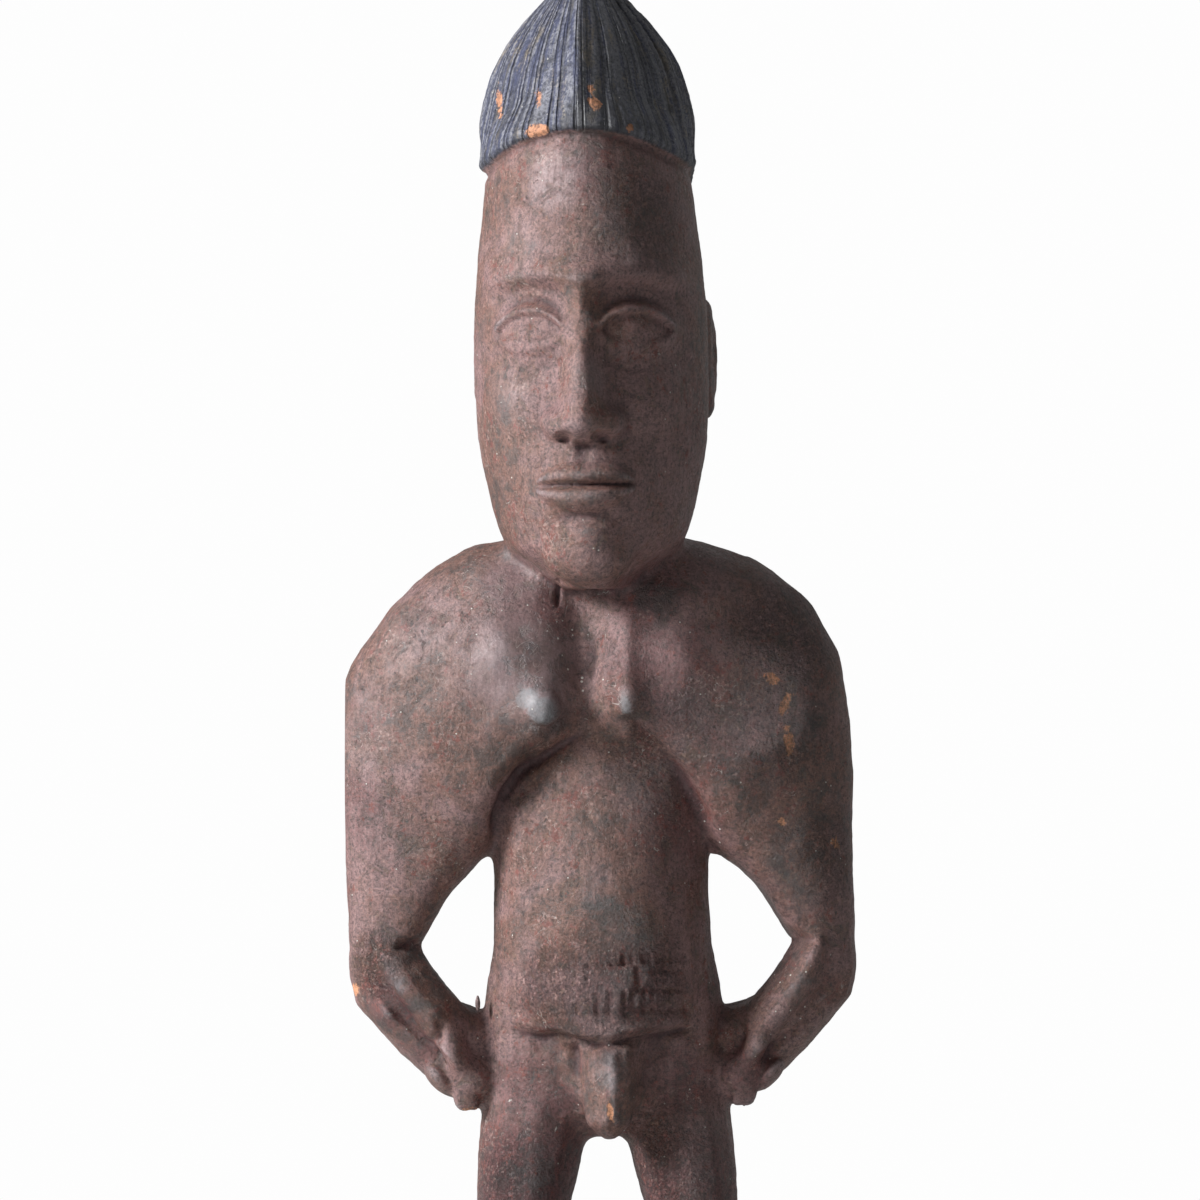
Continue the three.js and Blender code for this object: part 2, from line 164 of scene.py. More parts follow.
# Where the first smoothing holds back: box in the figure's frame, then the share of smoothing.
heldBack = [
    ((-60, -40, 13), (60, 40, 125), 0, 0.45),  # below the armpits
    ((-60, -40, 70), (60, 40, 110), 20, 0.12),  # forearms and hands
    ((-10, -30, 70), (10, -7, 93), 0, 0.12),  # loins
    ((-20, -40, 85), (20, -8, 98), 0, 0.1),  # lower edge of the belly
    ((-60, -40, -20), (60, 40, 13), 0, 0.12),  # feet
    ((-17, -60, 170), (17, -9, 184), 0, 0.08),  # chin and jaw
    ((-60, -60, 184), (60, 60, 300), 0, 0.08),  # head
]


def weigh(piece, name):
    spots = readFigure(piece)
    weight = np.ones(len(spots))
    for low, high, beyond, share in heldBack:
        inside = np.all((spots > low) & (spots < high), axis=1) & (np.abs(spots[:, 0]) >= beyond)
        weight[inside] = share
    group = piece.vertex_groups.new(name=name)
    for share in np.unique(weight):
        group.add(np.flatnonzero(weight == share).tolist(), float(share), "REPLACE")


figure = bpy.data.objects.new("carvedFigure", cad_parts["figure"].data.copy())
bpy.context.scene.collection.objects.link(figure)
only(figure)
bpy.ops.object.mode_set(mode="EDIT")
bpy.ops.mesh.select_all(action="SELECT")
bpy.ops.mesh.remove_doubles(threshold=carving["weld"] * mm)
bpy.ops.object.mode_set(mode="OBJECT")
remesh(figure, carving["roughVoxel"], carving["roughPasses"], "soft")
once = readFigure(figure)
modify(figure, "SMOOTH", factor=0.5, iterations=carving["roughPasses"], vertex_group="soft")
# Twice the first smoothing less the second gives back what smoothing takes off round forms.
writeFigure(figure, once * 2 - readFigure(figure))
figure.vertex_groups.clear()
print("rough carving", len(figure.data.vertices))

# Small rounded members, set on the rough carving before it is made one skin

hands = {
    "fingers": 4,
    "finger": (1.9, 1.9, 5.0),
    "fingerStart": (25.4, -4.2, 81.8),
    "fingerEnd": (24.8, 4.8, 82.0),
    "fingerTip": 0.45,
    "thumb": ((27.2, -5.4, 88.6), (2.2, 2.9, 5.2), 0.42),
    "heel": ((29.4, 0, 82.8), (2.1, 5.5, 4.2), 0.78),
    "web": ((23.6, 0.4, 89.4), (3.8, 4.6, 6.4), 0.3),
}
feet = {
    "middle": 16.1,
    "inside": -7.6,
    "overlap": 0.15,
    "step": 0.94,  # share of a half width from a toe's middle to its edge
    "gapWidth": 0.5,
    "gapDepth": 1.3,
    "gapReach": (1.8, 5, 0.4, 9),  # beside its middle, behind the toe's, lowest and highest
    # half width, half length, half height, place ahead
    "toes": [
        (2.25, 5.0, 3.1, -18.6),
        (1.5, 4.6, 2.7, -18.9),
        (1.45, 4.2, 2.5, -18.5),
        (1.35, 3.9, 2.3, -17.7),
        (1.25, 3.4, 2.1, -16.6),
    ],
}
ears = {
    "middle": (19.6, 1, 212.2),
    "rim": (5.1, 1.75),
    "fold": (2.7, 0.8),
    "half": (1.1, 0.92, 1.62),
    "lobe": (1.8, 2.4, 2.6),
    "flap": (1.2, 1.2, 1.9),
    # from the rim's middle: out of the head, behind, up
    "foldPlace": (-0.1, 0.9, 0.6),
    "lobePlace": (-0.2, -1.6, -7.6),
    "flapPlace": (-0.1, -4.3, -1.2),
}
# Plain balls: middle, half sizes
nipples = [((-9.9, -16.2, 150.2), (3.7, 3.7, 3.5)), ((5.2, -16.0, 150.8), (1.9, 3.1, 2.3))]
crotch = [((-5.7, 0, 73.8), (3.0, 6, 3.2)), ((5.3, 0, 73.6), (3.0, 6, 3.2))]
splinters = [
    ((-22.7, -4, 96.6), (0.6, 0.8, 1.7)),
    ((20.2, -3, 124.2), (0.9, 1.0, 1.6)),
    ((21.2, -3, 123.2), (1.3, 0.7, 0.7)),
]
extras = []


# Stretches the new primitive in edit mode and puts its mesh in place.
def settle(half, middle, turn, head):
    made = bpy.context.object
    bpy.ops.object.mode_set(mode="EDIT")
    bpy.ops.transform.resize(value=half)
    bpy.ops.object.mode_set(mode="OBJECT")
    home = figureFrame @ headInFigure if head else figureFrame
    made.data.transform(Matrix.Scale(mm, 4) @ home @ Matrix.Translation(middle) @ turn)
    made.matrix_world = Matrix.Identity(4)
    extras.append(made)


def ball(middle, half, tip=0.0, head=False):
    bpy.ops.object.select_all(action="DESELECT")
    bpy.ops.mesh.primitive_uv_sphere_add(segments=28, ring_count=18, radius=1)
    settle(half, middle, Matrix.Rotation(tip, 4, "Y"), head)


def ring(middle, rim, half):
    bpy.ops.object.select_all(action="DESELECT")
    bpy.ops.mesh.primitive_torus_add(
        major_radius=rim[0], minor_radius=rim[1], major_segments=40, minor_segments=14
    )
    settle(half[::-1], middle, Matrix.Rotation(math.pi / 2, 4, "Y"), head=True)


def addHands():
    start, end = np.array(hands["fingerStart"]), np.array(hands["fingerEnd"])
    for side in (-1, 1):
        for part in np.linspace(0, 1, hands["fingers"]):
            x, y, z = start + (end - start) * part
            ball((side * x, y, z), hands["finger"], side * hands["fingerTip"])
        for name in ("thumb", "heel", "web"):
            (x, y, z), half, tip = hands[name]
            ball((side * x, y, z), half, side * tip)


def addFeet():
    for side in (-1, 1):
        across = feet["inside"]
        for width, length, height, y in feet["toes"]:
            across += width
            middle = (side * (feet["middle"] + across), y, height / 2)
            ball(middle, (width + feet["overlap"], length, height))
            across += width * feet["step"]


def addEars():
    def beside(side, offset=(0, 0, 0)):
        x, y, z = (a + b for a, b in zip(ears["middle"], offset))
        return side * x, y, z

    for side in (-1, 1):
        ring(beside(side), ears["rim"], ears["half"])
        ring(beside(side, ears["foldPlace"]), ears["fold"], ears["half"])
        ball(beside(side, ears["lobePlace"]), ears["lobe"], head=True)
        ball(beside(side, ears["flapPlace"]), ears["flap"], head=True)


def addBase():
    radius, height = block["baseRadius"] * mm, block["baseHeight"] * mm
    bpy.ops.object.select_all(action="DESELECT")
    bpy.ops.mesh.primitive_cylinder_add(vertices=144, radius=radius, depth=height)
    made = bpy.context.object
    made.data.transform(Matrix.Translation((0, 0, height / 2)))
    made.matrix_world = Matrix.Identity(4)
    modify(made, "BEVEL", width=block["baseBevel"] * mm, segments=4, limit_method="ANGLE")
    extras.append(made)


addHands()
addFeet()
addEars()
addBase()
for place, half in nipples + crotch + splinters:
    ball(place, half)

only(figure)
for piece in extras:
    piece.select_set(True)
bpy.ops.object.join()
remesh(figure, carving["voxel"], carving["passes"])
print("one skin", len(figure.data.vertices))

# The head: skull, face and hair are set off the head's axis

head = {
    "keel": 1.8,  # roundness in front and behind: 2 is an oval, less is pointed
    "heel": 2.1,
    "earRoom": (8.2, 12.4),  # the skull stays as it is under the ears
    # level, half width, reach in front, reach behind
    "skull": [
        (171, 6, 17.6, 0),
        (174.5, 12, 20.8, 7),
        (180, 16.4, 22, 14),
        (189.33, 19, 22, 19),
        (198.5, 20.6, 22.2, 22),
        (216.65, 21, 22, 26),
        (229, 20.2, 23, 28),
        (245, 18.4, 21.8, 27.4),
        (256.5, 17.4, 20, 25),
    ],
}
hair = {
    "rim": 1.4,
    "side": 246.4,
    "front": 252.2,
    "nape": 228.0,
    "tip": 288.0,
    "tipBack": 3.0,
    "keelDepth": 0.5,  # two planes meet in a keel down the front
    "keelRise": 9.0,
    "strands": 58,
    "depth": 0.85,
    "fineDepth": 0.16,
    "ridge": 1.2,
    "crown": [
        (255, 19.4, 21.6, 28),
        (260, 18.4, 20.2, 26),
        (264.5, 16.9, 18.4, 23.4),
        (268.5, 14.8, 16.2, 20),
        (272.5, 11.8, 13.2, 15.6),
        (277, 7.6, 9, 10),
        (280.5, 5, 6.4, 6.6),
        (284, 3.5, 4.4, 4.4),
        (286.6, 2.6, 3.2, 3.2),
        (288, 1.2, 1.4, 1.4),
    ],
}
# Below its crown the hair follows the skull and stands proud of it by its rim.
levels = np.array([hair["nape"], 237, hair["side"], 250])
rows = along(head["skull"], levels).T + hair["rim"]
hair["crown"] = [(level, *row) for level, row in zip(levels, rows)] + hair["crown"]


def hairEdge(angle):
    ahead = -np.sin(angle)
    rise = np.where(ahead > 0, hair["front"] - hair["side"], hair["nape"] - hair["side"])
    return hair["side"] + rise * np.abs(ahead) ** np.where(ahead > 0, 2, 3.4)


def columns(table, places):
    return along(table, np.clip(places, table[0][0], table[-1][0]))


# A smooth bump: 1 in the middle, 0 from its half sizes outwards.
def bump(x, z, middle, half, sharp):
    far = ((x - middle[0]) / half[0]) ** 2 + ((z - middle[1]) / half[1]) ** 2
    return np.clip(1 - far, 0, 1) ** sharp


face = {
    "brow": 226.0,
    "eye": (9.2, 216.6),
    "eyeHalf": (5.9, 3.1),
    "mouth": 189.33,
    "mouthHalf": 8.4,
    # middle, half sizes, sharpness, height off the face
    "forms": {
        "socket": ((8.6, 217.6), (10.5, 8.6), 1.3, -2.1),
        "cheek": ((12, 205), (8, 8), 1.5, 1.2),
        "muzzle": ((0, 190), (14, 11), 1.3, 2.0),
        "chin": ((0, 177.6), (9, 6.4), 1.2, 2.0),
        "chinFold": ((0, 183.4), (7, 1.9), 1.2, -0.9),
        "nostril": ((2.9, 197.7), (1.7, 1.2), 0.8, -1.8),
        "lipGroove": ((0, 195.4), (1.6, 2.8), 1.0, -0.7),
    },
    "wing": ((4.2, 200.3), (3.4, 3.2), 0.85, 4.1),
    # level, half width, reach off the face
    "nose": [
        (195.6, 3.6, 0),
        (197.4, 3.9, 3.4),
        (199.4, 4.1, 6.7),
        (202.4, 3.9, 7.5),
        (209.5, 3.3, 5.4),
        (217, 2.9, 3.5),
        (223, 3.2, 2.2),
        (229, 4.2, 0.4),
        (233, 5, 0),
    ],
}


# How far the face stands off the skull at a place on it.
def faceRelief(x, z):
    wide = np.abs(x)
    eyeX, eyeZ = face["eye"]
    halfX, halfZ = face["eyeHalf"]
    out = np.zeros(len(x))
    for middle, half, sharp, height in face["forms"].values():
        out += height * bump(wide, z, middle, half, sharp)

    # eyes: a ball between two heavy lids that meet in points
    u = (wide - eyeX) / halfX
    part = np.clip(1 - u**2, 0, 1)
    upper = eyeZ + halfZ * part**0.75
    lower = eyeZ - halfZ * 0.74 * part**0.75
    mound = 3.1 * bump(wide, z, (eyeX, eyeZ + 0.3), (halfX * 1.6, halfZ * 2.4), 1.3)
    opening = np.minimum(upper - z, z - lower)
    inEye = ease(-0.15, 0.45, opening) * (np.abs(u) < 1)
    eyeball = 1.1 * np.sqrt(np.clip(1 - (u * 0.95) ** 2 - ((z - eyeZ) / (halfZ * 1.2)) ** 2, 0, 1))
    heavy = 0.5 + 0.5 * ease(eyeZ - 1.2, eyeZ + 1.2, z)
    lids = heavy * np.exp(-(((opening + 0.8) / 1.0) ** 2)) * ease(1.35, 0.9, np.abs(u))
    fold = 0.6 * np.exp(-(((z - upper - 2.7) / 0.8) ** 2)) * ease(1.15, 0.6, np.abs(u))
    out += mound + lids * (1 - inEye) - fold + (eyeball - 0.9) * inEye

    # brows: an arch that is steeper below than above
    part = np.clip(wide / 18, 0, 1)
    arch = face["brow"] - 0.4 + 2.4 * np.sin(part * math.pi * 0.6) - 2.6 * part**2
    drop = np.where(z < arch, 1.6, 3.3)
    out += (1.6 - 0.6 * part) * np.exp(-(((z - arch) / drop) ** 2)) * ease(19.5, 15.5, wide)

    # nose and its wings
    width, reach = columns(face["nose"], z)
    ridge = reach * np.exp(-((wide / width) ** 2.3))
    middle, half, sharp, height = face["wing"]
    wing = height * bump(wide, z, middle, half, sharp)
    noseEnd = face["nose"][0][0]
    out += np.hypot(ridge, wing) * ease(noseEnd, noseEnd + 2, z)

    # lips, closed and level: each is fullest near the line where they meet
    s = np.clip(wide / face["mouthHalf"], 0, 1)
    full = np.sqrt(1 - s**2)
    bow = 0.6 * np.exp(-((wide / 1.6) ** 2))
    over = (z - face["mouth"]) / (4.5 * full - bow + 0.01)
    under = (face["mouth"] - z) / (5.0 * full + 0.01)
    for part, swell in ((over, 1.9), (under, 2.3)):
        out += swell * full**0.7 * np.sin(math.pi * np.clip(part, 0, 1) ** 0.8)
    line = 0.45 * np.exp(-(((z - face["mouth"]) / 0.5) ** 2))
    return out - line * ease(1.15, 0.95, wide / face["mouthHalf"])


def setHead(spots):
    spots = moved(headInFigure.inverted(), spots)
    x, y, z = spots.T
    rise = np.clip(z - hair["front"], 0, None)
    back = hair["tipBack"] * rise / (hair["tip"] - hair["front"])
    deep = y - block["headAxis"] - back
    angle = np.arctan2(deep, x)
    behind = deep > 0
    far = np.hypot(x, deep)

    # the bare skull with its face
    width, ahead, rear = columns(head["skull"], z)
    roundness = np.where(behind, head["heel"], head["keel"])
    skin = reachOf(angle, width, np.where(behind, rear + 0.01, ahead), roundness)
    skin = skin + np.where(behind, 0, faceRelief(skin * np.cos(angle), z))

    # the hair: a cap with a rim, drawn up to a keel and a tip
    above = z - hairEdge(angle)
    width, ahead, rear = columns(hair["crown"], z)
    keel = head["keel"] - hair["keelDepth"] * ease(0.5, hair["keelRise"], above) * ease(287, 281, z)
    whole = reachOf(angle, width, np.where(behind, rear, ahead), np.where(behind, head["heel"], keel))
    locks = whole - strands(angle, z) * np.clip(width / 9, 0.15, 1) * ease(-0.2, 1.2, above)
    keelLine = np.abs(whole * np.cos(angle) + 0.4)
    locks += hair["ridge"] * np.exp(-keelLine / 1.1) * (deep < 0) * ease(0, 7, above) * ease(286, 279, z)
    locks -= 0.5 * np.exp(-(((above - 0.1) / 0.5) ** 2))
    inHair = ease(-0.35, 0.25, above) * (z > hair["nape"] - 2)
    under = 0.45 * np.exp(-(((above + 1.1) / 0.8) ** 2)) * (z > hair["nape"] - 2)
    goal = (skin - under) * (1 - inHair) + locks * inHair

    # how far each spot goes to its goal: all the way in front and in the hair, not at the ears
    fromFront = np.abs(angle + math.pi / 2)
    middle = ease(1.3, 1.1, fromFront) * ease(176, 179, z)
    near = ease(3.2, 1.6, np.abs(far - goal)) * ease(177, 181, z)
    _, earY, earZ = ears["middle"]
    halfY, halfZ = head["earRoom"]
    ear = ((y - earY) / halfY) ** 2 + ((z - earZ) / halfZ) ** 2
    weight = np.maximum(middle, near) * ease(0.8, 1.2, ear)
    weight = np.maximum(weight, inHair) * ease(287.6, 285.5, z)
    reach = far + (goal - far) * weight
    spots[:, 0] = reach * np.cos(angle)
    spots[:, 1] = block["headAxis"] + back + reach * np.sin(angle)
    return moved(headInFigure, spots)


lockDepth = rng.uniform(0.3, 1.25, hair["strands"] * 2)
lockPhase = rng.uniform(0, 2 * math.pi, hair["strands"] * 2)


# Combed grooves, unevenly spaced, that come and go; faint in front on the viewer's left.
def strands(angle, z):
    turn = angle / (2 * math.pi) * hair["strands"]
    turn = turn + 0.35 * np.sin(angle * 9 + 1) + 0.3 * np.sin(angle * 23 + z / 17)
    lock = np.round(turn).astype(int) % (hair["strands"] * 2)
    off = np.abs(turn - np.round(turn))
    come = 0.65 + 0.35 * np.sin(z / 4.5 + lockPhase[lock])
    main = np.exp(-((off / 0.2) ** 2)) * lockDepth[lock] * come
    fine = (1 - np.cos(turn * 6 * math.pi)) / 2
    faint = ease(-0.3, 0.3, np.cos(angle + math.pi * 0.72)) * 0.62
    return (hair["depth"] * main + hair["fineDepth"] * fine) * (1 - faint)


# Smooths the carving between two corners, in front only from that far beside the middle.
def soften(low, high, beyond, passes):
    spots = readFigure(figure)
    inside = np.all((spots > low) & (spots < high), axis=1)
    inside &= (spots[:, 1] > -10) | (np.abs(spots[:, 0]) > beyond)
    group = figure.vertex_groups.new(name="part")
    group.add(np.flatnonzero(inside).tolist(), 1.0, "REPLACE")
    modify(figure, "SMOOTH", factor=0.5, iterations=passes, vertex_group="part")
    figure.vertex_groups.clear()


# Two corners, how far beside the middle in front, passes
softened = {
    "neck": ((-26, -40, 168), (26, 40, 185), 9, 60),
    "leftHip": ((-26.4, -12, 82), (-18, 8, 93), 0, 30),
    "rightHip": ((18, -12, 82), (26.4, 8, 93), 0, 30),
    "leftShoulder": ((-50, -30, 144), (-34, 30, 168), 0, 60),
}

writeFigure(figure, setHead(readFigure(figure)))
modify(figure, "SMOOTH", factor=0.4, iterations=1)
for low, high, beyond, passes in softened.values():
    soften(low, high, beyond, passes)
print("head set")

# Creases, hollows and cuts of the carver's knife. A cut is drawn as it is seen from one side:
# its line, half width and depth, and how far it fades at the ends. A negative depth raises wood.
# A straight cut goes the way it is looked at, another one across the skin.

# The coordinates that run across, up and away, and the side of "away" that faces us
views = {"front": (0, 2, 1, -1), "back": (0, 2, 1, 1), "left": (1, 2, 0, -1), "right": (1, 2, 0, 1)}


def cut(spots, normals, line, width, depth, view="front", ends=0.25, straight=False):
    first, second, facing, sign = views[view]
    line = np.array(line, float)
    low, high = line.min(0) - width * 2, line.max(0) + width * 2
    a, b = spots[:, first], spots[:, second]
    nearby = (a > low[0]) & (a < high[0]) & (b > low[1]) & (b < high[1])
    nearby &= normals[:, facing] * sign > 0.05
    chosen = np.flatnonzero(nearby)
    here = np.stack([a[chosen], b[chosen]], axis=1)
    best = np.full(len(chosen), 1e9)
    place = np.zeros(len(chosen))
    lengths = np.linalg.norm(np.diff(line, axis=0), axis=1)
    total, gone = lengths.sum(), 0.0
    for start, end, length in zip(line[:-1], line[1:], lengths):
        t = np.clip(((here - start) @ (end - start)) / length**2, 0, 1)
        away = np.linalg.norm(here - start - t[:, None] * (end - start), axis=1)
        nearer = away < best
        best[nearer] = away[nearer]
        place[nearer] = (gone + t[nearer] * length) / total
        gone += length
    fade = ease(0, ends, place) * ease(0, ends, 1 - place) if ends else 1
    facingUs = ease(0.05, 0.45, normals[chosen, facing] * sign)
    amount = depth * np.exp(-((best / width) ** 2)) * fade * facingUs
    if straight:
        spots[chosen, facing] -= sign * amount
    else:
        spots[chosen] -= normals[chosen] * amount[:, None]


swells = {
    "leftFlank": ([(-13.4, 135.5), (-15, 130), (-16.2, 121)], 2.4, -1.1),
    "leftBreastEdge": ([(-4, 149), (-9, 145.6), (-14, 142), (-18, 138), (-21, 130)], 2.2, -0.9),
    "rightBreast": ([(25, 172), (27, 140)], 13, 2.0),
    "rightBreastRidge": ([(5.4, 168), (5, 150)], 1.7, -0.8),
    "rightBreastHollow": ([(11.5, 168), (11, 150)], 4.0, 0.9),
    "leftArmStrip": ([(-43, 99), (-38.5, 93.8), (-34, 89.4), (-30, 85.6), (-27.6, 82)], 3.0, -2.2),
    "leftArmTop": ([(-33, 106), (-29, 101), (-25.6, 96)], 3.0, -1.6),
    "rightArmStrip": ([(43, 99), (38.5, 93.8), (34, 89.4), (30, 85.6), (27.6, 82)], 3.0, -1.8),
    "shaftRight": ([(4.8, 92), (5, 84), (3.6, 77)], 2.3, -1.5),
    "leftPurse": ([(-6.8, 88.5), (-6.3, 81)], 2.3, -0.7),
}
# From the side: line, half width, depth, and where across it begins and is whole.
sideSwells = {
    "left": [
        ([(0, 151), (0, 138)], 9, -1.8, (-22, -30)),
        ([(0, 175), (0, 168)], 6, 0.7, (-22, -28)),
        ([(0, 132), (0, 108)], 9, -0.5, (-24, -30)),
        ([(0, 120), (0, 98)], 8, 1.4, (21, 25)),
    ],
    "right": [
        ([(0, 178), (0, 171)], 8, -1.5, (20, 27)),
        ([(0, 146), (0, 136)], 8, -0.3, (24, 30)),
        ([(0, 110), (0, 100)], 6, -0.4, (24, 30)),
    ],
}
cuts = {
    "neckSlit": ([(-6.5, 174.2), (-6.9, 167.4)], 0.36, 0.8),
    "breastbone": ([(-2.2, 170), (-3.6, 161), (-4.4, 153), (-5, 145.5)], 3.3, 0.5),
    "breastEdge": ([(-0.5, 165), (-0.8, 156), (-1.2, 149)], 0.8, 0.4),
    "rightBreastEdge": ([(2, 165), (1.7, 156), (1.4, 150)], 1.0, -0.6),
    "leftBreastFold": (
        [(-0.4, 146.6), (-5.5, 143.6), (-9.6, 141), (-14.1, 138)]
        + [(-16.4, 135.4), (-17.5, 133), (-18.7, 130), (-19.4, 123)],
        0.8,
        1.3,
    ),
    "leftBreastPit": ([(-11, 141.2), (-15.6, 137)], 1.0, 0.7),
    "rightBreastFold": (
        [(0, 147), (6.1, 146.6), (10, 143), (13.3, 138.6), (16.4, 133.5), (18.7, 129), (19.6, 124)],
        1.3,
        1.1,
    ),
    "ring": ([(-10, 132.5), (-8, 135.8), (-4.6, 136.2), (-2.2, 133), (-1.8, 126)], 0.6, 0.2),
    "underBelly": (
        [(-17, 92.6), (-14.4, 91), (-11, 90.4), (-8, 91), (-5.6, 90.2)]
        + [(-2.2, 89.2), (0.7, 89.3), (6.4, 90), (10, 90.4), (16.4, 92)],
        0.8,
        1.1,
    ),
    "loinLeft": ([(-14.4, 89.8), (-9.6, 88.8), (-6.9, 86), (-6.6, 81)], 1.9, 1.3),
    "loinRight": ([(13.6, 89.8), (8.6, 88.4), (7.4, 84), (6.8, 79)], 1.9, 1.3),
    "bellyEdge": (
        [(-17, 94.8), (-13.7, 93.2), (-8, 93.2), (-5, 92.2), (-2, 91.6), (1, 91.6), (6.4, 92.4), (16, 94)],
        1.3,
        -0.9,
    ),
    "leftElbowFold": ([(-42.5, 107.6), (-37, 107), (-31, 107.8)], 1.1, 1.0),
    "leftForearmLine": ([(-43.2, 100.8), (-38.4, 99.6), (-34.2, 93), (-30.3, 89.4)], 0.6, 0.5),
    "leftForearmGroove": ([(-40.5, 98.2), (-36, 93.6), (-32.1, 89.8), (-26.2, 84.4)], 0.6, 0.8),
    "leftThumbRoot": ([(-29, 94.4), (-30.5, 89.2)], 0.9, 1.0),
    "rightForearmRidge": ([(41.5, 102), (35.1, 96.2), (29.7, 90.5)], 0.8, -0.4),
    "rightForearmGroove": ([(44.3, 99), (35.2, 91), (25.4, 84)], 0.8, 1.0),
    "rightElbowFold": ([(31, 108), (37, 107), (43, 107.6)], 1.2, 0.6),
    "shaftKeel": ([(0.6, 91), (1.4, 84), (1.2, 78.5), (0.9, 74)], 1.3, -0.9),
    "shaftSide": ([(-5.2, 90.6), (-5.3, 85), (-4.7, 79.6)], 0.8, 0.7),
    "purseFold": ([(-9.4, 83.6), (-6.8, 80), (-4.6, 76)], 1.2, 0.7),
    "shaftCrack": ([(0.9, 80.6), (1, 73.4)], 0.35, 0.35),
    "leftNotch": ([(-18, 93), (-17.2, 88)], 0.5, 0.35),
    "leftKnee": ([(-19.6, 47.6), (-15.6, 45.6), (-11.4, 47.2)], 1.5, 0.5),
    "rightKnee": ([(19.6, 47.6), (15.6, 45.6), (11.4, 47.2)], 1.5, 0.5),
}
backCuts = {
    "spine": ([(-1.4, 165), (-0.6, 140), (0, 118), (0, 102)], 2.4, 1.4),
    "cleft": ([(0, 99), (0, 84), (0, 74)], 1.4, 2.3),
    "leftBlade": ([(-5, 152), (-10, 145.6), (-16, 144.6), (-20, 147)], 2.0, 0.8),
    "rightBlade": ([(5, 152), (10, 145.6), (16, 144.6), (20, 147)], 2.0, 0.8),
    "leftArmFold": ([(-22, 124), (-20.4, 131), (-17.6, 138)], 1.5, 1.1),
    "rightArmFold": ([(22, 124), (20.4, 131), (17.6, 138)], 1.5, 1.1),
    "leftSeat": ([(-2, 75), (-10, 70.5), (-18, 74)], 1.3, 0.9),
    "rightSeat": ([(2, 75), (10, 70.5), (18, 74)], 1.3, 0.9),
    "leftElbowBack": ([(-43, 107), (-36, 106.4), (-31, 108)], 1.4, 0.6),
    "rightElbowBack": ([(43, 107), (36, 106.4), (31, 108)], 1.4, 0.6),
}

marks = {
    "across": [  # line, share of the depth
        ([(8.2, 102.4), (14.4, 102.2)], 1.0),
        ([(4.6, 99), (15.4, 98.8)], 1.2),
        ([(4.6, 95.2), (15.4, 95)], 1.0),
        ([(-11, 99.4), (-3.4, 99.2)], 0.8),
    ],
    "levels": [105.6, 103.6, 99.4, 94.4],  # upright strokes run from one level to the next
    "from": -11.4,
    "to": 15.4,
    "pitch": 1.25,
    "chance": 0.72,
    "width": 0.42,
    "depth": 0.34,
}


def addCuts(spots, normals):
    for line, width, depth in swells.values():
        cut(spots, normals, line, width, depth, straight=True)
    for view, places in sideSwells.items():
        for line, width, depth, (low, high) in places:
            pushed = spots.copy()
            cut(pushed, normals, line, width, depth, view=view, ends=0, straight=True)
            spots += (pushed - spots) * ease(low, high, spots[:, :1])
    for name, (line, width, depth) in cuts.items():
        wholeLine = name in ("underBelly", "bellyEdge")
        cut(spots, normals, line, width, depth, ends=0.08 if wholeLine else 0.25)
    for line, width, depth in backCuts.values():
        cut(spots, normals, line, width, depth, view="back")


# Rows of short marks over the lower belly, each a little out of true.
def addMarks(spots, normals):
    def wobble(size):
        return rng.uniform(-size, size)

    def mark(line, share):
        cut(spots, normals, line, marks["width"], marks["depth"] * share, ends=0.12)

    def about(x, z):
        return x + wobble(0.35), z + wobble(0.4)

    top = marks["levels"][1]
    mark([(-8.4, top + wobble(0.3)), (-1, top - 0.2), (5.7, top + wobble(0.3))], 1.2)
    for line, share in marks["across"]:
        mark(line, share)
    for x in np.arange(marks["from"], marks["to"], marks["pitch"]):
        for start, end in zip(marks["levels"], marks["levels"][1:]):
            if rng.random() < marks["chance"]:
                share = rng.uniform(0.5, 1.4)
                mark([about(x, start), about(x, end)], share)


# The gaps between the toes
def addToes(spots, normals):
    beside, behind, low, high = feet["gapReach"]
    onTop = (normals[:, 2] > 0.1) | (normals[:, 1] < -0.2)
    onTop &= (spots[:, 2] > low) & (spots[:, 2] < high)
    for side in (-1, 1):
        across = feet["inside"]
        for width, length, height, y in feet["toes"][:-1]:
            across += width * (1 + feet["step"])
            away = np.abs(spots[:, 0] - side * (feet["middle"] + across))
            chosen = onTop & (away < beside) & (spots[:, 1] < y + behind)
            amount = feet["gapDepth"] * np.exp(-((away[chosen] / feet["gapWidth"]) ** 2))
            amount *= ease(0, 4, y + behind - spots[chosen, 1])
            spots[chosen] -= normals[chosen] * amount[:, None]


spots, normals = readFigure(figure), readNormals(figure)
addCuts(spots, normals)
addMarks(spots, normals)
addToes(spots, normals)
writeFigure(figure, spots)
print("cuts made")

# The crust of old oil and wood dust: soft lumps and pits over the whole skin
crust = [(5.0, 3, 0.34), (1.5, 2, 0.15)]  # size of the lumps, depth of the noise, height
for size, depth, height in crust:
    pattern = bpy.data.textures.new("crust", "CLOUDS")
    pattern.noise_scale = size * mm
    pattern.noise_depth = depth
    modify(figure, "DISPLACE", texture=pattern, strength=height * mm, mid_level=0.5, texture_coords="LOCAL")


# The underside is flat and nothing stands out of the frame's box.
def trim(piece):
    world = readSpots(piece)
    world[world[:, 2] < carving["flat"] * mm, 2] = 0
    world = np.clip(world, np.array(cadBox[0]), np.array(cadBox[1]))
    piece.data.vertices.foreach_set("co", world.ravel())
    piece.data.update()


